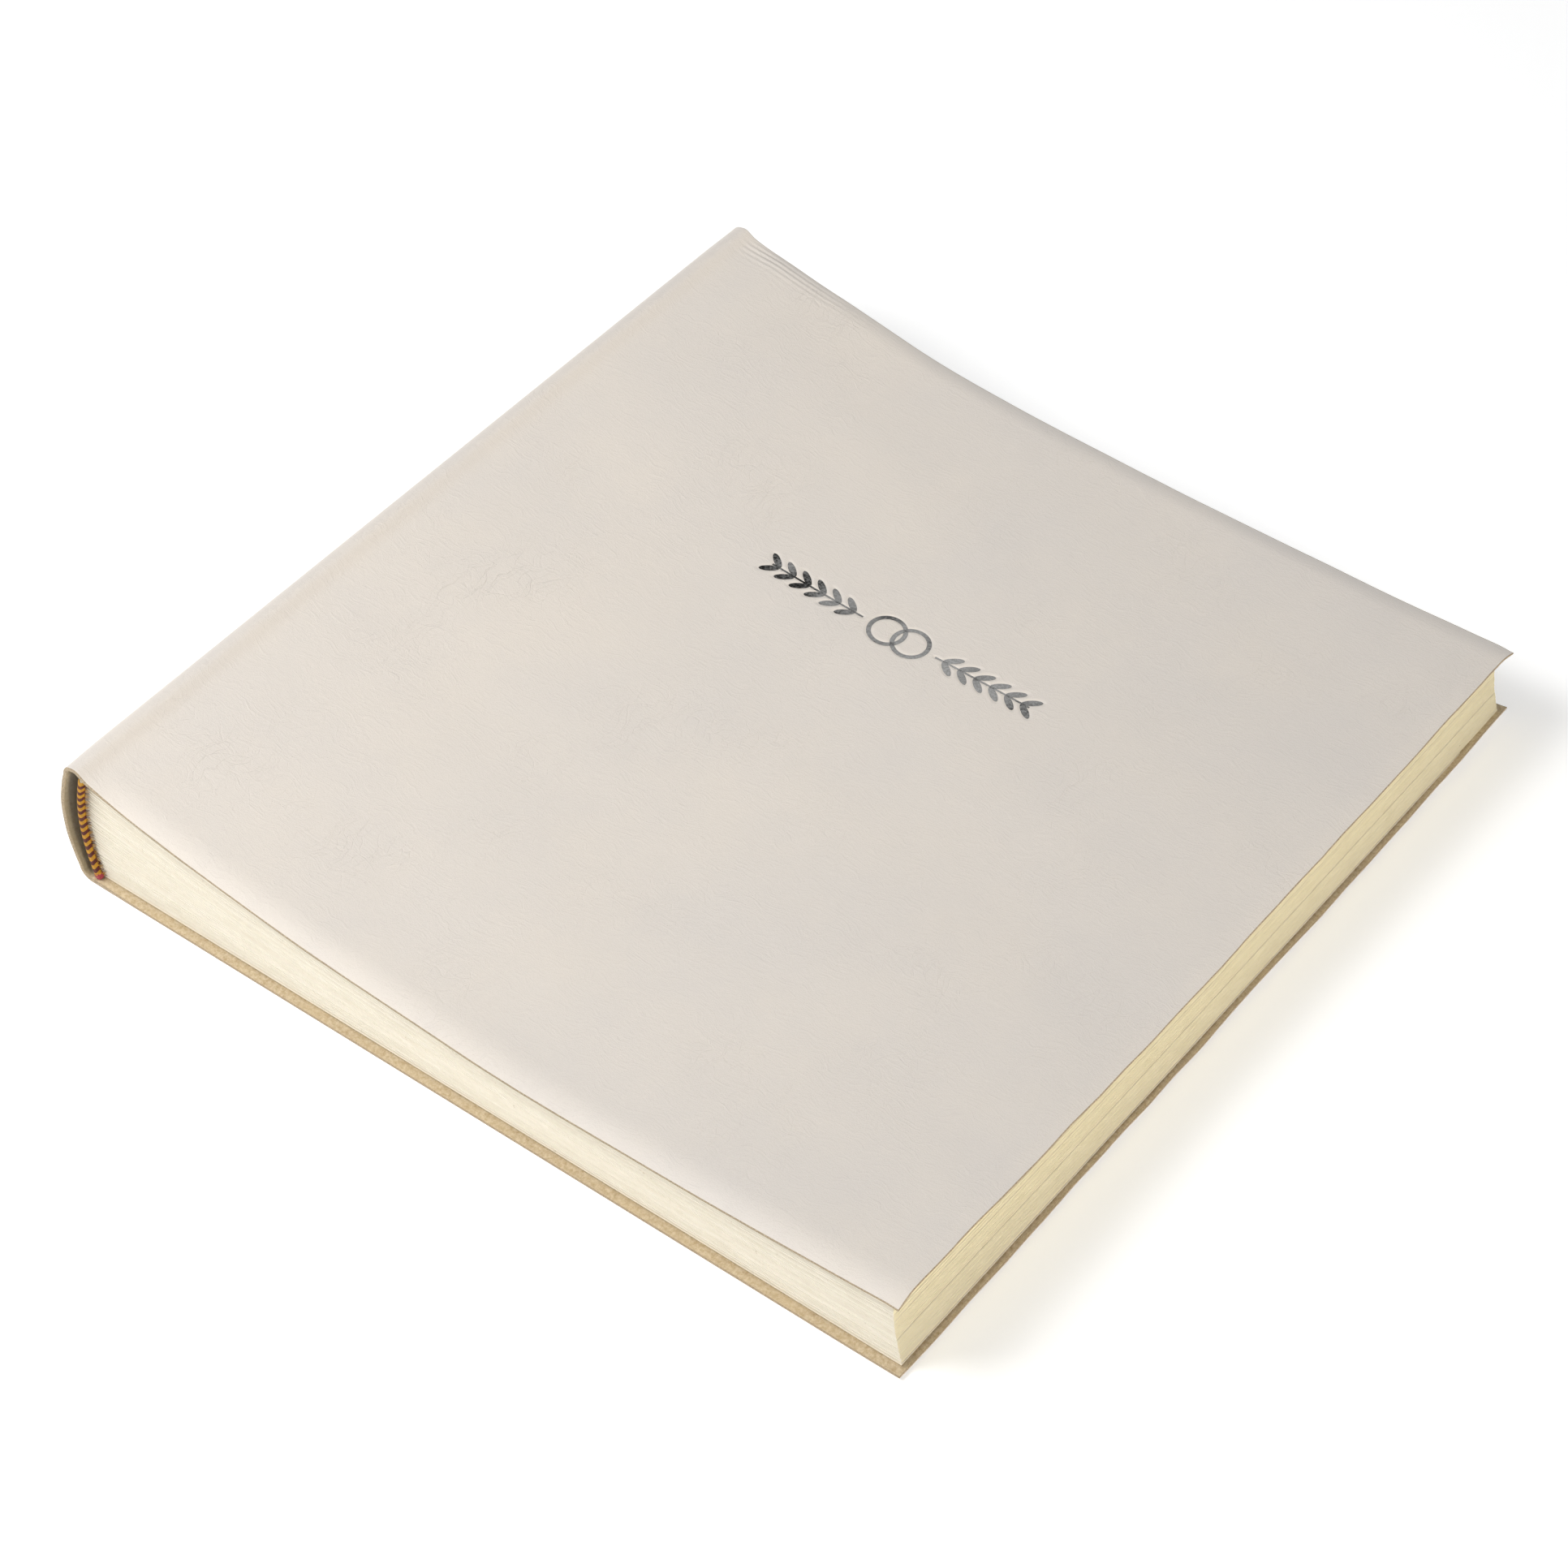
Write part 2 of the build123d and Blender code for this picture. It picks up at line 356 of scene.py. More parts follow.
@dataclass(frozen=True)
class Finish:
    """What every finish has: a name, the shader's values that are the same all over, the depth of
    its relief in millimetres and its two main colours."""

    name: str
    roughness: float
    ior: float = 1.5
    metallic: float = 0.0
    sheen: float = 0.0
    sheen_roughness: float = 0.5
    relief: float = 0.05
    light: str = "ffffff"
    dark: str = "808080"

    def start(self) -> tuple[bpy.types.Material, bpy.types.NodeTree, bpy.types.Node]:
        """Makes the material with its shader set to this finish.

        Returns:
            The material, its node tree and its shader node.
        """
        material = bpy.data.materials.new(self.name)
        material.use_nodes = True
        tree = material.node_tree
        shader = tree.nodes["Principled BSDF"]
        values = {"Roughness": self.roughness, "IOR": self.ior, "Metallic": self.metallic,
                  "Sheen Weight": self.sheen, "Sheen Roughness": self.sheen_roughness}
        for name, value in values.items():
            shader.inputs[name].default_value = value
        return material, tree, shader

    @staticmethod
    def flat_place(tree: bpy.types.NodeTree) -> bpy.types.NodeSocket:
        """The place on the flat, unrolled sheet in metres, which stays put when the sheet bends."""
        return add_node(tree, "UVMap", uv_map="unrolled").outputs["UV"]

    def two_tone(self, tree: bpy.types.NodeTree, pattern: bpy.types.NodeSocket, low: float,
                 high: float) -> bpy.types.NodeSocket:
        """Mixes the dark and the light colour by a pattern, between two of its values."""
        return mix(tree, ramp(tree, pattern, low, high), linear(self.dark), linear(self.light))

    def raise_surface(self, tree: bpy.types.NodeTree, shader: bpy.types.Node,
                      height: bpy.types.NodeSocket) -> None:
        """Gives the shader a bump of this finish's relief.

        Args:
            tree: The material's node tree.
            shader: The shader node.
            height: Height from 0 to 1, as a share of the relief.
        """
        bump = add_node(tree, "Bump", {"Height": height, "Distance": self.relief * MM, "Strength": 1.0})
        tree.links.new(bump.outputs["Normal"], shader.inputs["Normal"])


@dataclass(frozen=True)
class NappaLeather(Finish):
    """Soft full-grain nappa, drum dyed in ivory: a fine grain, loose creases and a low silky gloss."""

    name: str = "ivory_nappa_leather"
    roughness: float = 0.5
    ior: float = 1.48
    sheen: float = 0.06
    relief: float = 0.1
    colour: str = "dcd5cd"
    cool: str = "dad3cb"
    warm: str = "ded6cc"
    grain_mm: float = 0.9  # real pores lie about 0.5 mm apart; drawn coarser so that they show
    crease_mm: float = 7.0
    mottle_mm: float = 60.0
    patch_mm: float = 45.45

    def build(self) -> bpy.types.Material:
        """Makes the material: clouded dye, pebble grain of about a millimetre and hair-fine creases with
        painted shade in them.

        Returns:
            The new material.
        """
        material, tree, shader = self.start()
        place = self.flat_place(tree)
        clouds = add_node(tree, "TexNoise", {"Vector": place, "Scale": scale_of(self.mottle_mm),
                                             "Detail": 4.0, "Roughness": 0.6})
        share = ramp(tree, clouds.outputs["Fac"], 0.35, 0.65)
        colour = mix(tree, share, linear(self.cool), linear(self.warm))
        patches = add_node(tree, "TexNoise", {"Vector": place, "Scale": 3.1 * scale_of(self.mottle_mm),
                                              "Detail": 6.0, "Roughness": 0.7})
        share = ramp(tree, patches.outputs["Fac"], 0.45, 0.75, 0.0, 0.35)
        colour = mix(tree, share, colour, linear(self.colour))

        grain = add_node(tree, "TexVoronoi", {"Vector": place, "Scale": scale_of(self.grain_mm),
                                              "Randomness": 1.0}, feature="SMOOTH_F1")
        fine = add_node(tree, "TexNoise", {"Vector": place, "Scale": 2.6 * scale_of(self.grain_mm),
                                           "Detail": 3.0})
        swirl = add_node(tree, "TexNoise", {"Vector": place, "Scale": 0.6 * scale_of(self.crease_mm),
                                            "Detail": 2.0})
        bent = add_node(tree, "VectorMath", {0: swirl.outputs["Color"], 1: (0.012, 0.012, 0.0)},
                        operation="MULTIPLY")
        moved = add_node(tree, "VectorMath", {0: place, 1: bent.outputs["Vector"]}, operation="ADD")
        along = add_node(tree, "Mapping", {"Vector": moved.outputs["Vector"], "Rotation": (0, 0, 0.9),
                                           "Scale": (1.0, 0.2, 1.0)})
        creases = add_node(tree, "TexVoronoi", {"Vector": along.outputs["Vector"],
                                                "Scale": scale_of(0.4 * self.crease_mm)},
                           feature="DISTANCE_TO_EDGE")
        where = add_node(tree, "TexNoise", {"Vector": place, "Scale": scale_of(self.patch_mm), "Detail": 3.0})
        fold = ramp(tree, creases.outputs["Distance"], 0.0, 0.035, 1.0, 0.0)
        strength = ramp(tree, where.outputs["Fac"], 0.46, 0.72, 0.0, 0.75)
        fold = add_node(tree, "Math", {0: fold, 1: strength}, operation="MULTIPLY").outputs[0]
        cells = {0: grain.outputs["Distance"], 1: 0.5}
        pebble = add_node(tree, "Math", cells, operation="MULTIPLY").outputs[0]
        height = add_node(tree, "Math", {0: pebble, 1: ramp(tree, fine.outputs["Fac"], 0.3, 0.7, 0.0, 0.4)},
                          operation="ADD").outputs[0]
        scuffs = add_node(tree, "Mapping", {"Vector": moved.outputs["Vector"], "Rotation": (0, 0, -0.5),
                                            "Scale": (0.16, 1.0, 1.0)})
        lines = add_node(tree, "TexNoise", {"Vector": scuffs.outputs["Vector"],
                                            "Scale": 0.8 * scale_of(self.grain_mm),
                                            "Detail": 3.0, "Roughness": 0.6})
        height = add_node(tree, "Math", {0: height, 1: ramp(tree, lines.outputs["Fac"], 0.5, 0.8, 0.0, 0.75)},
                          operation="ADD").outputs[0]
        height = add_node(tree, "Math", {0: height, 1: fold}, operation="SUBTRACT").outputs[0]
        self.raise_surface(tree, shader, height)

        # painted shade: the colour darkens by up to a tenth towards c4b8aa in the creases
        crease_shade = mix(tree, ramp(tree, fold, 0.0, 1.0, 0.0, 0.1), colour, linear("c4b8aa"))
        tree.links.new(crease_shade, shader.inputs["Base Color"])
        gloss = ramp(tree, fine.outputs["Fac"], 0.3, 0.7, self.roughness - 0.06, self.roughness + 0.08)
        tree.links.new(gloss, shader.inputs["Roughness"])
        return material


@dataclass(frozen=True)
class SuedeFlesh(Finish):
    """The flesh side of the hide, left sueded: a matt tan nap with short fibres that lie both ways."""

    name: str = "tan_suede_flesh_side"
    roughness: float = 0.95
    sheen: float = 0.25
    relief: float = 0.35
    light: str = "d8c8aa"
    dark: str = "b09770"
    hollow_shade: str = "7d745c"
    spine_mm: float = 21.0  # half of the run round the spine that is painted darker, as shade inside the hollow
    nap_mm: float = 1.3  # real fibres are about 0.3 mm; drawn coarser so that the nap shows

    def build(self) -> bpy.types.Material:
        """Makes the material: brushed fibres in two tans, with painted shade that makes the flesh inside the
        spine darker and greyer.

        Returns:
            The new material.
        """
        material, tree, shader = self.start()
        place = self.flat_place(tree)
        nap = add_node(tree, "TexNoise", {"Vector": place, "Scale": scale_of(self.nap_mm), "Detail": 8.0,
                                          "Roughness": 0.75})
        brushed = add_node(tree, "TexNoise", {"Vector": place, "Scale": 0.08 * scale_of(self.nap_mm),
                                              "Detail": 4.0})
        colour = self.two_tone(tree, nap.outputs["Fac"], 0.36, 0.62)
        colour = mix(tree, ramp(tree, brushed.outputs["Fac"], 0.4, 0.7, 0.0, 0.35), colour, linear("d2bd95"))
        along = add_node(tree, "SeparateXYZ", {"Vector": place}).outputs["X"]
        run = add_node(tree, "Math", {0: along}, operation="ABSOLUTE").outputs[0]
        # painted shade: inside the spine hollow the flesh is mixed towards a dark grey-olive
        hollow_shade_share = ramp(tree, run, self.spine_mm * MM, (self.spine_mm + 5) * MM, 0.72, 0.0)
        colour = mix(tree, hollow_shade_share, colour, linear(self.hollow_shade))
        tree.links.new(colour, shader.inputs["Base Color"])
        self.raise_surface(tree, shader, nap.outputs["Fac"])
        return material


@dataclass(frozen=True)
class CutLeather(Finish):
    """The knife-cut edge of the hide: a thin grey-brown line of bare fibres, a little burnished."""

    name: str = "cut_leather_edge"
    roughness: float = 0.7
    relief: float = 0.15
    light: str = "b7a68b"
    dark: str = "8d7d65"
    fibre_mm: float = 0.5  # real fibres are finer; drawn coarser so that the edge looks rough

    def build(self) -> bpy.types.Material:
        """Makes the material: bare fibres in two browns.

        Returns:
            The new material.
        """
        material, tree, shader = self.start()
        place = self.flat_place(tree)
        fibres = add_node(tree, "TexNoise", {"Vector": place, "Scale": scale_of(self.fibre_mm),
                                             "Detail": 4.0})
        colour = self.two_tone(tree, fibres.outputs["Fac"], 0.35, 0.65)
        tree.links.new(colour, shader.inputs["Base Color"])
        self.raise_surface(tree, shader, fibres.outputs["Fac"])
        return material


@dataclass(frozen=True)
class WritingPaper(Finish):
    """Uncoated ivory writing paper, calendered smooth and guillotined: matt, with a faint fibre cloud.

    The fore edge has its own deeper, yellower ivory, painted shade of the side turned away from the key
    light.
    """

    name: str = "ivory_writing_paper"
    roughness: float = 0.88
    ior: float = 1.45
    relief: float = 0.02
    light: str = "ebe5d8"
    dark: str = "e4ddcd"
    speck: str = "a5946f"
    fibre_mm: float = 0.9  # real fibres are about 0.1 mm wide; drawn coarser to cloud the sheet

    def build(self) -> bpy.types.Material:
        """Makes the material: a fibre cloud in two ivories and a very low tooth.

        Returns:
            The new material.
        """
        material, tree, shader = self.start()
        place = self.flat_place(tree)
        cloud = add_node(tree, "TexNoise", {"Vector": place, "Scale": 0.12 * scale_of(self.fibre_mm),
                                            "Detail": 6.0, "Roughness": 0.65})
        tooth = add_node(tree, "TexNoise", {"Vector": place, "Scale": scale_of(self.fibre_mm), "Detail": 5.0})
        colour = self.two_tone(tree, cloud.outputs["Fac"], 0.35, 0.68)
        specks = add_node(tree, "TexNoise", {"Vector": place, "Scale": 0.5 * scale_of(self.fibre_mm),
                                             "Detail": 2.0})
        share = ramp(tree, specks.outputs["Fac"], 0.70, 0.78, 0.0, 0.45)
        colour = mix(tree, share, colour, linear(self.speck))
        tree.links.new(colour, shader.inputs["Base Color"])
        self.raise_surface(tree, shader, tooth.outputs["Fac"])
        return material


@dataclass(frozen=True)
class SilkThread(Finish):
    """Spun silk wound tight: a soft gloss along the turns and a slightly darker foot between them."""

    name: str = "gold_silk_thread"
    roughness: float = 0.45
    sheen: float = 0.08
    light: str = "eeb021"
    dark: str = "c58c10"
    strand_mm: float = 0.16  # real filaments are far finer; these are the plies

    def build(self) -> bpy.types.Material:
        """Makes the material: fine strands twisted along each turn.

        Returns:
            The new material.
        """
        material, tree, shader = self.start()
        place = self.flat_place(tree)
        lean = add_node(tree, "Mapping", {"Vector": place, "Rotation": (0, 0, 0.5), "Scale": (1.0, 3.0, 1.0)})
        scale = 0.5 * scale_of(self.strand_mm)
        strand = add_node(tree, "TexWave", {"Vector": lean.outputs["Vector"], "Scale": scale,
                                            "Distortion": 1.5})
        fuzz = add_node(tree, "TexNoise", {"Vector": place, "Scale": scale, "Detail": 3.0})
        tone = self.two_tone(tree, fuzz.outputs["Fac"], 0.35, 0.65)
        colour = mix(tree, ramp(tree, strand.outputs["Fac"], 0.2, 0.8, 0.0, 0.5), tone, linear(self.light))
        tree.links.new(colour, shader.inputs["Base Color"])
        self.raise_surface(tree, shader, strand.outputs["Fac"])
        return material


@dataclass(frozen=True)
class WovenCloth(Finish):
    """Plain-woven cotton or linen: matt threads that pass over and under, with gaps in the open weaves."""

    name: str = "cotton_mull_cloth"
    roughness: float = 0.9
    sheen: float = 0.2
    relief: float = 0.15
    light: str = "e6dfcf"
    dark: str = "b3a78f"
    thread_mm: float = 0.8

    def build(self) -> bpy.types.Material:
        """Makes the material: two crossing sets of threads, drawn by place in space.

        Returns:
            The new material.
        """
        material, tree, shader = self.start()
        place = add_node(tree, "TexCoord").outputs["Object"]
        threads = []
        for turn in (0.0, math.pi / 2):
            lean = add_node(tree, "Mapping", {"Vector": place, "Rotation": (turn, 0, 0)})
            inputs = {"Vector": lean.outputs["Vector"], "Scale": 0.5 * scale_of(self.thread_mm),
                      "Distortion": 0.4}
            threads.append(add_node(tree, "TexWave", inputs, bands_direction="Y").outputs["Fac"])
        weave = add_node(tree, "Math", {0: threads[0], 1: threads[1]}, operation="MULTIPLY").outputs[0]
        colour = self.two_tone(tree, weave, 0.05, 0.5)
        tree.links.new(colour, shader.inputs["Base Color"])
        self.raise_surface(tree, shader, weave)
        return material


@dataclass(frozen=True)
class KraftPaper(Finish):
    """Brown kraft, machine glazed: matt, with long darker fibres."""

    name: str = "brown_kraft_lining"
    roughness: float = 0.8
    light: str = "b08c5f"
    dark: str = "8d6b44"
    fibre_mm: float = 1.2  # real fibres are finer; drawn coarser so that they show

    def build(self) -> bpy.types.Material:
        """Makes the material: long fibres along the sheet.

        Returns:
            The new material.
        """
        material, tree, shader = self.start()
        place = add_node(tree, "TexCoord").outputs["Object"]
        drawn = add_node(tree, "Mapping", {"Vector": place, "Scale": (1.0, 0.25, 1.0)})
        fibres = add_node(tree, "TexNoise", {"Vector": drawn.outputs["Vector"],
                                             "Scale": scale_of(self.fibre_mm), "Detail": 6.0})
        colour = self.two_tone(tree, fibres.outputs["Fac"], 0.35, 0.65)
        tree.links.new(colour, shader.inputs["Base Color"])
        self.raise_surface(tree, shader, fibres.outputs["Fac"])
        return material


@dataclass(frozen=True)
class StampedFoil(Finish):
    """Silver foil, hot stamped into the grain: a dark mirror that the grain under it breaks up."""

    name: str = "hot_stamped_silver_foil"
    roughness: float = 0.1
    metallic: float = 1.0
    relief: float = 0.004
    light: str = "f0eee9"
    dark: str = "cfcdc7"
    grain_mm: float = 0.9  # the grain of the leather under it, as coarse as that is drawn

    def build(self) -> bpy.types.Material:
        """Makes the material: the leather's grain shows through, with a few spots worn thin.

        Returns:
            The new material.
        """
        material, tree, shader = self.start()
        place = self.flat_place(tree)
        grain = add_node(tree, "TexVoronoi", {"Vector": place, "Scale": scale_of(self.grain_mm)},
                         feature="SMOOTH_F1")
        worn = add_node(tree, "TexNoise", {"Vector": place, "Scale": 1.2 * scale_of(self.grain_mm),
                                           "Detail": 5.0})
        colour = self.two_tone(tree, worn.outputs["Fac"], 0.4, 0.62)
        tree.links.new(colour, shader.inputs["Base Color"])
        gloss = ramp(tree, worn.outputs["Fac"], 0.35, 0.7, self.roughness - 0.05, self.roughness + 0.03)
        tree.links.new(gloss, shader.inputs["Roughness"])
        self.raise_surface(tree, shader, grain.outputs["Distance"])
        return material


class Stuff(Enum):
    """The finishes of this book."""

    GRAIN = NappaLeather()
    FLESH = SuedeFlesh()
    EDGE = CutLeather()
    PAPER = WritingPaper()
    ENDPAPER = WritingPaper(name="ivory_endpaper", light="ede5d4", dark="e7decb")
    # painted shade: a deeper, yellower copy of the paper for the fore edge, the side turned away from the key
    # light
    SHADED_FORE_EDGE = WritingPaper(name="fore_edge_paper_painted_shade", light="e7ddb9", dark="dfd4ae")
    GOLD = SilkThread()
    MAROON = SilkThread(name="maroon_silk_thread", light="74201c", dark="480f10")
    CRIMSON = SilkThread(name="crimson_band_cloth", roughness=0.7, light="b43c4c", dark="83202f",
                         strand_mm=0.3)
    MULL = WovenCloth()
    TAPE = WovenCloth(name="linen_sewing_tape", light="e3d9bf", dark="b7a884", thread_mm=0.5)
    THREAD = WovenCloth(name="waxed_linen_thread", light="e0d6bd", dark="b3a37f", thread_mm=0.35)
    CORE = WovenCloth(name="cotton_band_core", light="ded5c0", dark="ab9e83", thread_mm=0.4)
    KRAFT = KraftPaper()
    FOIL = StampedFoil()


_made: dict[Stuff, bpy.types.Material] = {}


def material(stuff: Stuff) -> bpy.types.Material:
    """Gives the material of a finish, which is made once.

    Args:
        stuff: The finish.

    Returns:
        Its material.
    """
    if stuff not in _made:
        _made[stuff] = stuff.value.build()
    return _made[stuff]


# ------------------------------------------------------------------ meshes
@dataclass
class Sheet:
    """Collects the points and faces of one piece, with their flat places and finishes."""

    name: str
    stuffs: Sequence[Stuff]
    points: Points = field(default_factory=list)
    flats: list[tuple[float, float]] = field(default_factory=list)
    faces: list[tuple[int, ...]] = field(default_factory=list)
    kinds: list[int] = field(default_factory=list)

    def grid(self, rows: Sequence[Sequence[Point]], flats: Sequence[Sequence[tuple[float, float]]],
             kinds: Sequence[int], around: bool = False, closed: bool = False) -> list[list[int]]:
        """Adds a grid of points and its faces.

        Args:
            rows: Rows of points; the faces lie between two rows that follow each other.
            flats: The flat place of each point.
            kinds: The finish of each band of faces between two points of a row.
            around: Whether the last point of each row joins its first.
            closed: Whether the last row joins the first.

        Returns:
            The numbers of the points, row by row.
        """
        numbers = []
        for row, flat in zip(rows, flats):
            start = len(self.points)
            self.points.extend(row)
            self.flats.extend(flat)
            numbers.append(list(range(start, start + len(row))))
        count = len(numbers[0])
        pairs = [(at, at + 1) for at in range(count - 1)] + ([(count - 1, 0)] if around else [])
        follow = list(zip(numbers, numbers[1:])) + ([(numbers[-1], numbers[0])] if closed else [])
        for one, two in follow:
            for band, (near, far) in enumerate(pairs):
                self.faces.append((one[near], two[near], two[far], one[far]))
                self.kinds.append(kinds[band % len(kinds)])
        return numbers

    def cap(self, ring: Sequence[int], kind: int) -> None:
        """Closes an end with one face."""
        self.faces.append(tuple(ring))
        self.kinds.append(kind)

    def close_ends(self, numbers: Sequence[Sequence[int]], count: int) -> None:
        """Closes the first and last ring of a folded sheet with a strip of small faces.

        Args:
            numbers: The numbers of the points, ring by ring; each goes out on one face of the
                sheet and back on the other.
            count: Number of points on one face.
        """
        for ring, turned in ((numbers[0], True), (numbers[-1], False)):
            for at in range(count - 1):
                face = (ring[at], ring[at + 1], ring[2 * count - 2 - at], ring[2 * count - 1 - at])
                self.cap(face if turned else face[::-1], 0)

    def build(self, smooth: bool = True) -> bpy.types.Object:
        """Makes the object, in metres.

        Args:
            smooth: Whether its faces are shaded smooth.

        Returns:
            The new object, in the scene.
        """
        mesh = bpy.data.meshes.new(self.name)
        mesh.from_pydata([(x * MM, y * MM, z * MM) for x, y, z in self.points], [], self.faces)
        for stuff in self.stuffs:
            mesh.materials.append(material(stuff))
        mesh.polygons.foreach_set("material_index", self.kinds)
        layer = mesh.uv_layers.new(name="unrolled")
        corners = np.zeros(len(mesh.loops), np.int32)
        mesh.loops.foreach_get("vertex_index", corners)
        flat = np.array(self.flats, np.float32)[corners] * MM
        layer.data.foreach_set("uv", flat.ravel())
        mesh.polygons.foreach_set("use_smooth", [smooth] * len(mesh.polygons))
        mesh.set_sharp_from_angle(angle=math.radians(70))
        mesh.validate()
        mesh.update()
        piece = bpy.data.objects.new(self.name, mesh)
        bpy.context.scene.collection.objects.link(piece)
        log.info("%s: %d points", self.name, len(self.points))
        return piece


# ------------------------------------------------------------------ the stamped ornament
@dataclass(frozen=True)
class Ornament:
    """Two linked rings between two sprigs of leaves, hot stamped into the front cover."""

    ring_radius: float = 6.2
    ring_line: float = 1.5
    ring_spacing: float = 8.4
    sprig_length: float = 33.0
    sprig_gap: float = 2.6
    leaf_pairs: int = 6
    leaf_length: float = 6.4
    leaf_width: float = 2.3
    leaf_slant: float = math.radians(38.0)
    stem_line: float = 0.8
    depth: float = 0.25
    shoulder: float = 0.45

    @property
    def root(self) -> float:
        """Where a stem starts, from the middle of the ornament."""
        return self.ring_spacing / 2 + self.ring_radius + self.sprig_gap

    @property
    def reach(self) -> float:
        """Half of the ornament's length."""
        return self.root + self.sprig_length + self.leaf_length / 2

    def rings(self) -> list[tuple[float, float]]:
        """Centres of the rings."""
        return [(PLAN.stamp_x + side * self.ring_spacing / 2, PLAN.stamp_y) for side in (-1, 1)]

    def stems(self) -> list[tuple[float, float]]:
        """Start and end of each stem along X."""
        ends = (self.root, self.root + self.sprig_length)
        return [(PLAN.stamp_x + side * ends[0], PLAN.stamp_x + side * ends[1]) for side in (-1, 1)]

    def leaves(self) -> list[tuple[float, float, float]]:
        """Places the leaves in pairs along both stems.

        Returns:
            The middle and the slant of each leaf.
        """
        made = []
        for (root, _), side in zip(self.stems(), (-1, 1)):
            for pair in range(self.leaf_pairs):
                foot = root + side * self.sprig_length * (pair + 0.5) / self.leaf_pairs
                for above in (-1, 1):
                    half = self.leaf_length / 2
                    made.append((foot + side * half * math.cos(self.leaf_slant),
                                 PLAN.stamp_y + above * half * math.sin(self.leaf_slant),
                                 side * above * self.leaf_slant))
        return made

    def pressed(self, x: float, y: float) -> float:
        """How far the stamp has pushed the leather down at a place.

        Args:
            x: Place from spine to fore edge.
            y: Place from tail to head.

        Returns:
            From 0 to the depth of the stamp, with a soft shoulder round each line.
        """
        if abs(x - PLAN.stamp_x) > self.reach + 1 or abs(y - PLAN.stamp_y) > self.ring_radius + 1:
            return 0.0
        apart = []
        for cx, cy in self.rings():
            middle = self.ring_radius - self.ring_line / 2
            apart.append(abs(math.hypot(x - cx, y - cy) - middle) - self.ring_line / 2)
        for start, end in self.stems():
            low, high = min(start, end), max(start, end)
            apart.append(math.hypot(max(low - x, 0, x - high), abs(y - PLAN.stamp_y)) - self.stem_line / 2)
        for cx, cy, slant in self.leaves():
            dx, dy = x - cx, y - cy
            along = dx * math.cos(slant) + dy * math.sin(slant)
            across = dy * math.cos(slant) - dx * math.sin(slant)
            scaled = math.hypot(along / (self.leaf_length / 2), across / (self.leaf_width / 2))
            apart.append((scaled - 1) * self.leaf_width / 2)
        return self.depth * (1 - ease(min(apart) / self.shoulder))


ORNAMENT = Ornament()


# ------------------------------------------------------------------ the leather case
class Half(Enum):
    """The two halves of the case, which meet along the middle of the spine."""

    FRONT = 1
    BACK = -1


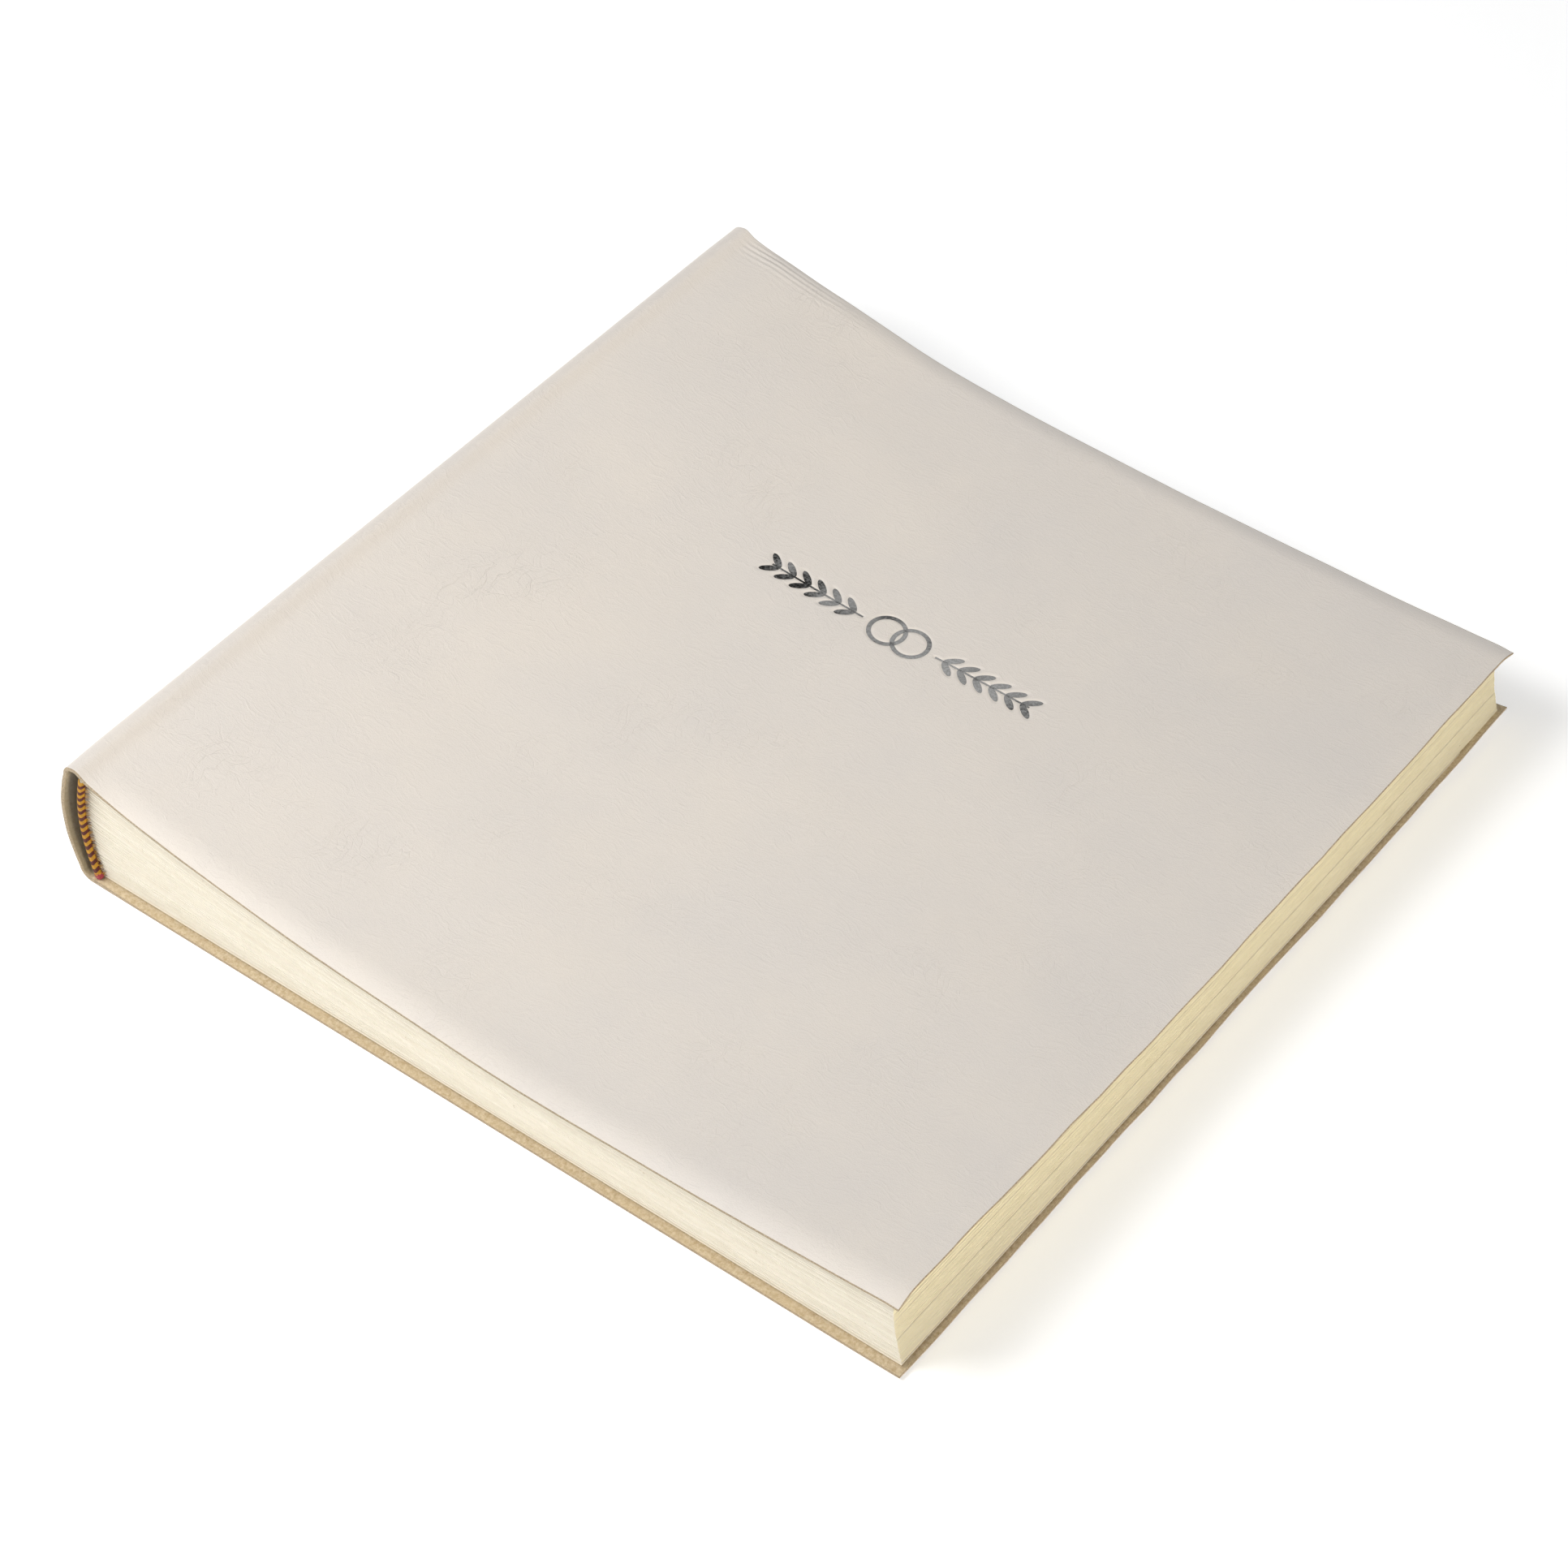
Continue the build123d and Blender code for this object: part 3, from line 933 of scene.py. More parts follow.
@dataclass
class LeatherCase:
    """One limp hide wrapped round the block: spine, two shoulders and two covers with raw edges."""

    crown: float = 3.4
    corner: float = 4.2
    rim: float = 0.28
    blend_start: float = 2.5
    blend_end: float = 14.0
    soften: float = 1.3
    skive: float = 0.5
    fold_pitch: float = 2.1
    fold_height: float = 0.13
    groove_depth: float = 0.28
    groove_run: float = 3.4
    groove_reach: float = 1.2
    puff: float = 0.5
    puff_run: float = 16.0
    puff_reach: float = 9.0
    roll_depth: float = 0.45
    roll_reach: float = 3.0
    ripple: Waviness = Waviness(SEED + 1, 0.09, 60.0, 13.0, 9)
    nicks: Waviness = Waviness(SEED + 2, 0.22, 40.0, 3.0, 11)

    def __post_init__(self) -> None:
        """Draws the ripples of the hide and the nicks of its edge once."""
        self.quick = self.ripple.field()
        self.nick = self.nicks.field()

    def front_height(self, x: float, y: float) -> float:
        """Height of the front cover's outer face, uneven as a hide lies.

        Args:
            x: Place from spine to fore edge.
            y: Place from tail to head.

        Returns:
            The height over the table, before the stamp.
        """
        run = x - PLAN.hinge_x
        height = PLAN.settle(x) + PLAN.joint_drop * math.exp(-max(run, 0.0) / PLAN.shoulder_run)
        height += PLAN.sag(x, y) + ease(run / PLAN.loose_run) * self.quick(x, y)
        height -= self.groove_depth * math.exp(-((run - self.groove_run) / self.groove_reach) ** 2)
        headward = ease((y - 105) / 45)
        height += self.puff * headward * math.exp(-((run - self.puff_run) / self.puff_reach) ** 2)
        fore_gap = PLAN.front_edge_x - x
        height -= self.roll_depth * math.exp(-(fore_gap / self.roll_reach) ** 2)
        edge = PLAN.half_cover - y
        if edge < 16 and run < 75:
            phase = 2 * math.pi * (edge + 0.03 * run) / self.fold_pitch
            ridge = math.cos(phase + 0.8 * math.sin(run / 7.0))
            fade = math.exp(-((edge - 4.5) / 4.0) ** 2) * ease(run / 5) * ease((62 - run) / 50)
            height += self.fold_height * ridge * fade
        return height

    def back_height(self, x: float, y: float) -> float:
        """Height of the back cover's outer face, which lies on the table and lifts at its edges.

        Args:
            x: Place from spine to fore edge.
            y: Place from tail to head.

        Returns:
            The height over the table.
        """
        fore = max(0.0, 1 - (PLAN.back_edge_x - x) / 26) ** 2
        wave = 0.5 + 0.5 * math.sin(y / 17.0 + 1.2 * math.sin(y / 41.0))
        lift = fore * (0.25 + 0.8 * wave * ease((y + 110) / 80) + 1.3 * ease((y - 100) / 50))
        return max(0.0, lift)

    def spine_path(self, half: Half) -> list[tuple[float, float]]:
        """The outer face's cross-section from the middle of the spine to the hinge line.

        Args:
            half: Which half of the case.

        Returns:
            Places along X and Z.
        """
        middle, side = PLAN.top_z / 2, half.value
        rise = middle - self.corner
        radius = (self.crown ** 2 + rise ** 2) / (2 * self.crown)
        sweep = math.asin(rise / radius)
        path = []
        for angle in spread(0.0, sweep, 22):
            path.append((PLAN.spine_x + radius * (1 - math.cos(angle)),
                         middle + side * radius * math.sin(angle)))
        bend_x = PLAN.spine_x + self.crown
        for angle in spread(0.0, math.pi / 2, 14)[1:]:
            path.append((bend_x + self.corner * (1 - math.cos(angle)),
                         middle + side * (rise + self.corner * math.sin(angle))))
        last = path[-1][0]
        path.extend((x, path[-1][1]) for x in spread(last, PLAN.hinge_x, 4)[1:])
        return path

    def stations(self, half: Half) -> list[float]:
        """Places along X over the cover, closer at the joint, the edge and the stamp.

        Args:
            half: Which half of the case.

        Returns:
            The places, in order.
        """
        end = PLAN.front_edge_x if half is Half.FRONT else PLAN.back_edge_x
        near = [PLAN.hinge_x + 34 * (at / 26) ** 1.6 for at in range(1, 27)]
        places = near + spread(near[-1], end - 8, 64)[1:] + spread(end - 8, end - self.rim, 12)[1:]
        if half is Half.FRONT:
            low, high = PLAN.stamp_x - ORNAMENT.reach - 1, PLAN.stamp_x + ORNAMENT.reach + 1
            places = [x for x in places if not low < x < high] + spread(low, high, 250)
        return sorted(places)

    def rows(self, half: Half) -> list[float]:
        """Places along Y, closer at the ends, over the stamp and over the creases at the head.

        Args:
            half: Which half of the case.

        Returns:
            The places, in order.
        """
        end = PLAN.half_cover - self.rim
        places = [side * (end - 14 * (at / 12) ** 1.5) for side in (-1, 1) for at in range(12)]
        places += spread(-end + 14, end - 14, 66)
        if half is Half.FRONT:
            near = ORNAMENT.ring_radius + 1
            low, high = PLAN.stamp_y - near, PLAN.stamp_y + near
            places = [y for y in places if not low < y < high] + spread(low, high, 44)
            places = [y for y in places if y < end - 14.5] + spread(end - 14, end, 42)
        return sorted(places)

    def outer_face(self, half: Half) -> tuple[np.ndarray, np.ndarray]:
        """Points of the outer face and their flat places.

        Args:
            half: Which half of the case.

        Returns:
            An array of points by row and station, and one of flat places.
        """
        spine = self.spine_path(half)
        stations, rows = self.stations(half), self.rows(half)
        height = self.front_height if half is Half.FRONT else self.back_height
        points = np.zeros((len(rows), len(spine) + len(stations), 3))
        for number, y in enumerate(rows):
            tug = self.end_tug(y)
            line = [(x + tug * self.puckers(at, y, half), z) for at, (x, z) in enumerate(spine)]
            line += [(x, height(x, y)) for x in stations]
            points[number, :, 0] = [x for x, _ in line]
            points[number, :, 1] = y
            points[number, :, 2] = [z for _, z in line]
        run = np.hypot(np.diff(points[:, :, 0], axis=1), np.diff(points[:, :, 2], axis=1)).mean(axis=0)
        along = np.concatenate([[0.0], np.cumsum(run)]) * half.value
        flats = np.zeros(points.shape[:2] + (2,))
        flats[:, :, 0] = along[None, :]
        flats[:, :, 1] = np.array(rows)[:, None]
        points = self.softened(points, along * half.value) if half is Half.FRONT else points
        for number, y in enumerate(rows):
            if half is Half.FRONT:
                for at, x in enumerate(stations):
                    points[number, len(spine) + at, 2] -= ORNAMENT.pressed(x, y)
            points[number, -1, 0] += self.nick(y, 40.0 * half.value) - 0.12
        return points, flats

    def softened(self, points: np.ndarray, along: np.ndarray) -> np.ndarray:
        """Rolls the leather softly over the shoulder, where a stiff sheet would crease.

        Args:
            points: Points of the outer face, by row and station.
            along: Run of each station along the hide.

        Returns:
            The points with the shoulder rounded.
        """
        apart = (along[:, None] - along[None, :]) / self.soften
        weight = np.exp(-0.5 * apart ** 2) * np.gradient(along)[None, :]
        weight /= weight.sum(axis=1, keepdims=True)
        middle = points[:, :, 0].mean(axis=0)
        past = middle - PLAN.hinge_x
        share = np.array([ease((x + 5) / 3) * ease((16 - x) / 8) for x in past])
        rounded = points.copy()
        for axis in (0, 2):
            smooth = points[:, :, axis] @ weight.T
            rounded[:, :, axis] += share[None, :] * (smooth - points[:, :, axis])
        return rounded

    def thickness(self, outer: np.ndarray) -> np.ndarray:
        """Thickness of the hide, pared thin along the free edges of the covers.

        Args:
            outer: Points of the outer face.

        Returns:
            The thickness at each point.
        """
        x, y = outer[:, :, 0], outer[:, :, 1]
        apart = np.minimum(PLAN.half_cover - np.abs(y), PLAN.front_edge_x - x)
        free = np.clip((x - PLAN.hinge_x - 2) / 14, 0, 1)
        return PLAN.skin * (1 - self.skive * free * np.exp(-(np.maximum(apart, 0) / 4.5) ** 2))

    def end_tug(self, y: float) -> float:
        """How much the spine is drawn in at its two ends, where the hide is loose over the block."""
        return math.exp(-((PLAN.half_cover - abs(y)) / 9.0) ** 2)

    def puckers(self, at: int, y: float, half: Half) -> float:
        """How deep the spine leather is puckered at a place round it."""
        return 0.3 + 0.05 * math.sin(at * 0.45 + 0.4 * half.value + y * 0.2)

    def build(self, half: Half) -> bpy.types.Object:
        """Builds one half: outer face, flesh side and the cut edge between them.

        Args:
            half: Which half of the case.

        Returns:
            The piece, not yet on a body.
        """
        outer, flats = self.outer_face(half)
        along = np.gradient(outer, axis=1)
        across = np.gradient(outer, axis=0)
        normal = np.cross(along, across) * half.value
        normal /= np.linalg.norm(normal, axis=2, keepdims=True)
        normal[:, :, 1] = 0.0
        inner = outer - normal * self.thickness(outer)[:, :, None]
        stuffs = (Stuff.GRAIN, Stuff.FLESH, Stuff.EDGE)
        sheet = Sheet(f"leather_case_{half.name.lower()}", stuffs)
        flip = half is Half.BACK
        rows, columns = outer.shape[:2]
        sheet.points = [tuple(p) for p in outer.reshape(-1, 3)] + [tuple(p) for p in inner.reshape(-1, 3)]
        sheet.flats = [tuple(f) for f in flats.reshape(-1, 2)] * 2
        below = rows * columns

        def quad(a: int, b: int, c: int, d: int, kind: int) -> None:
            """Adds one face, turned round on the back half.

            Args:
                a: Number of its first point.
                b: Number of its second point.
                c: Number of its third point.
                d: Number of its fourth point.
                kind: Its finish.
            """
            sheet.faces.append((d, c, b, a) if flip else (a, b, c, d))
            sheet.kinds.append(kind)

        for row in range(rows - 1):
            for column in range(columns - 1):
                a = row * columns + column
                b, c, d = a + 1, a + columns + 1, a + columns
                quad(a, b, c, d, 0)
                quad(below + d, below + c, below + b, below + a, 1)

        ring = list(range(columns))
        ring += [row * columns + columns - 1 for row in range(1, rows)]
        ring += [(rows - 1) * columns + column for column in range(columns - 2, -1, -1)]
        ring += [row * columns for row in range(rows - 2, 0, -1)]
        outward = self.outward(ring, rows, columns, normal)
        levels = [ring]
        for depth, reach in ((0.12, 0.75), (0.5, 1.0), (0.88, 0.75)):
            level = []
            for number, way in zip(ring, outward):
                top, low = np.array(sheet.points[number]), np.array(sheet.points[below + number])
                place = top + (low - top) * depth + way * self.rim * reach
                level.append(len(sheet.points))
                sheet.points.append(tuple(place))
                flat, beyond = sheet.flats[number], depth * PLAN.skin
                sheet.flats.append((flat[0] + way[0] * beyond, flat[1] + way[1] * beyond))
            levels.append(level)
        levels.append([below + number for number in ring])
        for upper, lower in zip(levels, levels[1:]):
            for at in range(len(ring)):
                after = (at + 1) % len(ring)
                quad(upper[after], upper[at], lower[at], lower[after], 2)
        return sheet.build()

    def outward(self, ring: Sequence[int], rows: int, columns: int, normal: np.ndarray) -> list[np.ndarray]:
        """The way out of the sheet at each point of its border.

        Args:
            ring: Numbers of the border's points.
            rows: Number of rows of the outer face.
            columns: Number of points in a row.
            normal: Normals of the outer face.

        Returns:
            One vector for each point; the border along the middle of the spine has none.
        """
        ways = []
        for number in ring:
            row, column = divmod(number, columns)
            way = np.zeros(3)
            if row in (0, rows - 1):
                way[1] = -1.0 if row == 0 else 1.0
            if column == columns - 1:
                face = normal[row, column]
                way[0], way[2] = abs(face[2]), -face[0] * np.sign(face[2])
            ways.append(way)
        return ways

    def dress(self) -> None:
        """Builds both halves, hides the imported leather and bakes each half's place into its mesh."""
        front = self.build(Half.FRONT)
        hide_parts("front_cover_leather", "spine_leather")
        back = self.build(Half.BACK)
        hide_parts("back_cover_leather")
        for piece, cover, height in ((front, "front_cover", PLAN.top_z), (back, "back_cover", 0.0)):
            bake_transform(piece)


# ------------------------------------------------------------------ the foil in the stamp
@dataclass
class Foil:
    """The silver film that lies on the floor of the stamp."""

    case: LeatherCase
    film: float = 0.05
    above: float = 0.03
    trim: float = 0.06

    def floor(self, x: float, y: float) -> float:
        """Height of the leather under the foil."""
        return self.case.front_height(x, y) - ORNAMENT.depth

    def plate(self, sheet: Sheet, rows: Sequence[Sequence[tuple[float, float]]], closed: bool) -> None:
        """Adds one closed film over a grid of places.

        Args:
            sheet: The piece that it joins.
            rows: Rows of places along X and Y, each from one side of the line to the other.
            closed: Whether the last row joins the first, as on a ring.
        """
        loops, flats = [], []
        for row in rows:
            top = [(x, y, self.floor(x, y) + self.above + self.film) for x, y in row]
            low = [(x, y, self.floor(x, y) + self.above - 0.02) for x, y in reversed(row)]
            loops.append(top + low)
            flats.append([(x, y) for x, y in row] + [(x, y) for x, y in reversed(row)])
        numbers = sheet.grid(loops, flats, [0], around=True, closed=closed)
        if not closed:
            sheet.cap(numbers[0], 0)
            sheet.cap(list(reversed(numbers[-1])), 0)

    def dress(self) -> None:
        """Builds the film of the rings, stems and leaves as one piece on the front cover."""
        sheet, trim = Sheet("stamped_silver_ornament", (Stuff.FOIL,)), self.trim
        for cx, cy in ORNAMENT.rings():
            inner, outer = ORNAMENT.ring_radius - ORNAMENT.ring_line + trim, ORNAMENT.ring_radius - trim
            radii = spread(inner, outer, 3)
            turns = [2 * math.pi * at / 96 for at in range(96)]
            rows = [[(cx + r * math.cos(t), cy + r * math.sin(t)) for r in radii] for t in turns]
            self.plate(sheet, rows, True)
        for start, end in ORNAMENT.stems():
            half = ORNAMENT.stem_line / 2 - trim
            places = spread(min(start, end), max(start, end), 70)
            rows = [[(x, PLAN.stamp_y + side * half) for side in (1, 0, -1)] for x in places]
            self.plate(sheet, rows, False)
        for cx, cy, slant in ORNAMENT.leaves():
            rows = []
            for at in spread(-1.0, 1.0, 18):
                along = at * (ORNAMENT.leaf_length / 2 - trim) * 0.999
                half = (ORNAMENT.leaf_width / 2 - trim) * math.sqrt(max(0.0004, 1 - at * at))
                rows.append([(cx + along * math.cos(slant) - side * half * math.sin(slant),
                              cy + along * math.sin(slant) + side * half * math.cos(slant))
                             for side in (1, 0, -1)])
            self.plate(sheet, rows, False)
        piece = sheet.build(smooth=False)
        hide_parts("foil_ornament")
        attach(piece, "front_cover")


# ------------------------------------------------------------------ the leaves
@dataclass
class SewnBlock:
    """Ten sewn sections of four folded sheets each, trimmed at tail, head and fore edge."""

    sections: int = 10
    turning: int = 4
    folios: int = 4
    sheet_share: float = 0.78
    nose: float = 0.9
    jitter_y: float = 0.15
    jitter_x: float = 0.05
    step_x: float = 0.2
    blend_before: float = 1.5
    blend_after: float = 24.0

    def __post_init__(self) -> None:
        """Draws the trimming unevenness of the three edges once."""
        self.draw = random.Random(SEED + 7)
        self.wave = Waviness(SEED + 5, 0.05, 160.0, 60.0).field()

    def leaf_path(self, share: float, start: float, end: float) -> list[tuple[float, float]]:
        """The middle line of one leaf, with close places where it bends at the gutter.

        Args:
            share: The leaf's share of the block.
            start: Where its fold ends.
            end: Where its fore edge lies.

        Returns:
            Places along X and shares of the block's thickness.
        """
        bend = start + self.blend_after + 12.0
        places = spread(start, bend, 20) + spread(bend, end, 10)[1:]
        return [(x, share) for x in places]

    def folio_path(self, low: float, high: float, fold_x: float) -> list[tuple[float, float]]:
        """The middle line of one folded sheet, from its lower fore edge to its upper one.

        Args:
            low: The lower leaf's share of the block.
            high: The upper leaf's share of the block.
            fold_x: Where the fold lies furthest out.

        Returns:
            Places along X and shares of the block's thickness.
        """
        ends = []
        for share in (low, high):
            step = self.step_x * (0.5 if share < 0.33 else -0.5)
            ends.append(PLAN.fore_edge(share) + step + self.draw.uniform(-1, 1) * self.jitter_x)
        half = (PLAN.layer(high, fold_x) - PLAN.layer(low, fold_x)) / 2
        centre_x, centre = fold_x + half, (low + high) / 2
        lower = self.leaf_path(low, centre_x, ends[0])
        upper = self.leaf_path(high, centre_x, ends[1])
        arc = [(centre_x - half * math.sin(turn), centre - (high - low) / 2 * math.cos(turn))
               for turn in spread(0.0, math.pi, 8)[1:-1]]
        return list(reversed(lower)) + arc + upper

    def row_places(self) -> list[float]:
        """Places along Y of a leaf's rows, closer at its ends, where it follows the rolled cover."""
        near = [PLAN.half_leaf - gap for gap in (0.0, 1.5, 3.5, 6.5, 10.5, 16.0, 28.0, 50.0, 85.0)]
        return [-y for y in near] + [0.0] + near[::-1]

    def add_folio(self, sheet: Sheet, path: Sequence[tuple[float, float]], thick: float,
                  share: float) -> None:
        """Adds one folded sheet of paper as a closed solid.

        Args:
            sheet: The section's piece.
            path: The middle line of the paper, as places along X and shares of the thickness.
            thick: Thickness of the paper.
            share: Where it lies in the block, which moves its slow waves.
        """
        nudge = [self.draw.uniform(-1, 1) * self.jitter_y for _ in (0, 1)]
        rows, flats = [], []
        for y in self.row_places():
            line = np.array([(x, PLAN.layer(part, x, y)) for x, part in path])
            way = np.gradient(line, axis=0)
            way /= np.linalg.norm(way, axis=1, keepdims=True)
            side = np.stack([-way[:, 1], way[:, 0]], axis=1) * thick / 2
            run = np.concatenate([[0.0], np.cumsum(np.linalg.norm(np.diff(line, axis=0), axis=1))])
            lift = 0.5 * self.wave(y, 900 * share)
            place_y = y + (nudge[0] if y < -140 else nudge[1] if y > 140 else 0.0)
            near = [(x + dx, place_y, z + dz + lift) for (x, z), (dx, dz) in zip(line, side)]
            far = [(x - dx, place_y, z - dz + lift) for (x, z), (dx, dz) in zip(line, side)]
            rows.append(near + far[::-1])
            place = [(r, y + 400 * share) for r in run]
            flats.append(place + place[::-1])
        count = len(path)
        # the cut fore edges take the second finish, the paper's painted shade
        side_kinds = [0] * (count - 1) + [1]
        numbers = sheet.grid(rows, flats, side_kinds * 2, around=True)
        sheet.close_ends(numbers, count)

    def section(self, index: int) -> bpy.types.Object:
        """Builds one section, the first being on top.

        Args:
            index: Number of the section, from 0.

        Returns:
            The piece, not yet on a body.
        """
        sheet = Sheet(f"section_{index + 1:02d}_sheets", (Stuff.PAPER, Stuff.SHADED_FORE_EDGE))
        bottom, top = 1 - (index + 1) / self.sections, 1 - index / self.sections
        air = self.section_air(index)
        leaves = 2 * self.folios
        step = (top - bottom) / leaves
        thick = self.sheet_share * step * (PLAN.block_top(100.0) - PLAN.block_low)
        for nest in range(self.folios):
            low, high = bottom + step * (nest + 0.5), top - step * (nest + 0.5) - air
            fold_x = PLAN.spine_edge((low + high) / 2) + 0.1 + 0.32 * nest
            path = self.folio_path(low, high, fold_x)
            self.add_folio(sheet, path, thick, (low + high) / 2)
        return sheet.build(smooth=False)

    def section_air(self, index: int) -> float:
        """Share of the block that is left as air over a section that turns or lies under one."""
        return 0.004 if index <= self.turning else 0.0

    def dress(self) -> None:
        """Builds all sections; the upper ones keep the place they are built in and the others go on the
        block's body.
        """
        for index in range(self.sections):
            piece = self.section(index)
            name = f"section_{index + 1:02d}"
            if index < self.turning:
                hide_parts(f"{name}_fold", f"{name}_leaves")
                height = PLAN.layer(1 - (index + 0.5) / self.sections, PLAN.crease_x)
                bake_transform(piece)
            else:
                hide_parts(name)
                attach(piece, "book_block")


@dataclass
class Endpapers:
    """Two flyleaves tipped to the block and two pastedowns glued to the flesh side."""

    case: LeatherCase
    block: SewnBlock
    margin: float = 3.2

    def leaf(self, name: str, heights: Callable[[float, float], float], start: float, end: float,
             half: float) -> bpy.types.Object:
        """Builds one leaf as a closed solid under a face.

        Args:
            name: Name of the piece.
            heights: Height of its upper face at a place.
            start: Where it starts along X.
            end: Where it ends along X.
            half: Half of its length along Y.

        Returns:
            The piece, not yet on a body.
        """
        sheet = Sheet(name, (Stuff.ENDPAPER,))
        places = [start + (end - start) * (at / 60) ** 1.4 for at in range(61)]
        rows, flats = [], []
        near = [half - gap for gap in (0.0, 1.5, 3.5, 6.5, 10.5, 16.0)]
        for y in [-y for y in near] + spread(-half + 24, half - 24, 30) + near[::-1]:
            top = [(x, y, heights(x, y)) for x in places]
            low = [(x, y, z - PLAN.paper) for x, _, z in reversed(top)]
            rows.append(top + low)
            flats.append([(x, y) for x in places] + [(x, y) for x in reversed(places)])
        numbers = sheet.grid(rows, flats, [0], around=True)
        sheet.close_ends(numbers, len(places))
        return sheet.build(smooth=False)

    def dress(self) -> None:
        """Builds the four leaves and bakes each one's place into its mesh."""
        thick = PLAN.paper
        start = PLAN.crease_x - self.margin
        half = PLAN.half_cover - self.margin
        under = PLAN.skin + 0.02
        front = self.leaf("front_pastedown_sheet", lambda x, y: self.case.front_height(x, y) - under,
                          start, PLAN.front_edge_x - self.margin, half)
        back = self.leaf("back_pastedown_sheet", lambda x, y: self.case.back_height(x, y) + under + thick,
                         start, PLAN.back_edge_x - self.margin, half)
        for piece, node, cover, height in ((front, "front_pastedown", "front_cover", PLAN.top_z),
                                           (back, "back_pastedown", "back_cover", 0.0)):
            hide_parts(node)
            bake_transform(piece)
        fold = PLAN.spine_edge(1.0) + 1.0
        upper = self.leaf("front_flyleaf_sheet", lambda x, y: PLAN.block_top(x, y) + 0.05 + thick,
                          fold, PLAN.fore_edge(1.0), PLAN.half_leaf)
        low = span("back_flyleaf", 2)[1]
        lower = self.leaf("back_flyleaf_sheet", lambda x, y: low, fold, PLAN.fore_edge(0.0) + 0.2,
                          PLAN.half_leaf + 0.3)
        for piece, name, height in ((upper, "front_flyleaf", PLAN.block_top(PLAN.crease_x)),
                                    (lower, "back_flyleaf", low)):
            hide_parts(name, f"{name}_stub")
            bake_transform(piece)


# ------------------------------------------------------------------ headbands
class End(Enum):
    """The two ends of the spine."""

    TAIL = -1
    HEAD = 1


@dataclass
class Headband:
    """A cotton core wound with silk in two colours, with its threads drawn into the sections."""

    end: End
    thread: float = 0.25
    turns_per_colour: int = 3
    pitch: float = 0.465
    around: int = 18
    lean: float = 0.8
    ties: int = 92

    def __post_init__(self) -> None:
        """Reads the bead's place from its packed core."""
        name = f"headband_silk_{self.end.name.lower()}"
        self.limits = span(name, 2)
        low, high = span(name, 1)
        self.y = (low + high) / 2
        self.radius = (high - low) / 2
        self.middle_x = span(name, 0)[0] + self.radius

    def frame_at(self, run: float) -> tuple[np.ndarray, np.ndarray, np.ndarray]:
        """Place on the bead's middle line with the ways along it and out of it.

        Args:
            run: Share of its length, from 0 at the foot to 1 at the top.

        Returns:
            The place, the way along and the way out of the spine.
        """
        low, high = self.limits
        z = low + (high - low) * run
        x = self.middle_x + PLAN.back_round * (2 * run - 1) ** 2
        slope = PLAN.back_round * 4 * (2 * run - 1) / (high - low)
        along = np.array([slope, 0.0, 1.0]) / math.hypot(slope, 1.0)
        out = np.array([-along[2], 0.0, along[0]])
        return np.array([x, self.y, z]), along, out

    def ring(self, sheet: Sheet, run: float, kink: float) -> None:
        """Adds one turn of thread around the core.

        Args:
            sheet: The silk of one colour.
            run: Where along the bead it lies.
            kink: How much this turn strays from its place.
        """
        place, along, out = self.frame_at(run)
        over = np.array([0.0, 1.0, 0.0]) * self.end.value
        rows, flats = [], []
        core = self.radius - self.thread
        for step in range(self.around):
            turn = 2 * math.pi * step / self.around
            radial = out * math.cos(turn) + over * math.sin(turn)
            chevron = kink - self.lean * math.sin(turn) ** 2
            centre = place + radial * core + along * chevron
            loop = []
            for at in range(6):
                angle = 2 * math.pi * at / 6
                swell = 1.0 + 0.06 * math.sin(3 * turn + 9 * run)
                offset = radial * math.cos(angle) + along * math.sin(angle)
                loop.append(tuple(centre + offset * self.thread * swell))
            rows.append(loop)
            flats.append([(turn * core, at * 0.2) for at in range(6)])
        sheet.grid(rows, flats, [0], around=True, closed=True)

    def build(self) -> list[bpy.types.Object]:
        """Builds the two silks.

        Returns:
            The gold piece and the maroon piece.
        """
        draw = random.Random(SEED + 21 + self.end.value)
        low, high = self.limits
        count = int((high - low - 1.6) / self.pitch)
        label = self.end.name.lower()
        silks = [Sheet(f"gold_silk_{label}", (Stuff.GOLD,)), Sheet(f"maroon_silk_{label}", (Stuff.MAROON,))]
        for number in range(count):
            colour = (number // self.turns_per_colour) % 2
            run = (1.2 + number * self.pitch) / (high - low)
            self.ring(silks[colour], run, draw.uniform(-0.04, 0.04))
        return [silk.build() for silk in silks]

    def fringe(self) -> bpy.types.Object:
        """Builds the short threads that pass from the bead into the folds.

        Returns:
            The piece, not yet on a body.
        """
        draw = random.Random(SEED + 31 + self.end.value)
        label = self.end.name.lower()
        sheet = Sheet(f"headband_tie_threads_{label}", (Stuff.GOLD, Stuff.MAROON))
        for number in range(self.ties):
            place, along, out = self.frame_at((number + 0.5) / self.ties)
            colour = (number // 3) % 2
            root = place - out * (self.radius * 0.8) + along * draw.uniform(-0.1, 0.1)
            length = draw.uniform(0.5, 1.3)
            inward = -self.end.value
            rows, flats = [], []
            for at in range(4):
                share = at / 3
                sunk = np.array([0, inward * (0.25 + 0.75 * share) * self.radius, 0])
                centre = root - out * length * share + sunk + along * draw.uniform(-0.12, 0.12) * share
                size = 0.11 * (1 - 0.6 * share)
                loop = [tuple(centre + (along * math.cos(a) + out * math.sin(a)) * size)
                        for a in (0.0, 2.1, 4.2)]
                rows.append(loop)
                flats.append([(share, a * 0.05) for a in (0, 1, 2)])
            numbers = sheet.grid(rows, flats, [colour], around=True)
            sheet.cap(numbers[0][::-1], colour)
            sheet.cap(numbers[-1], colour)
        return sheet.build()

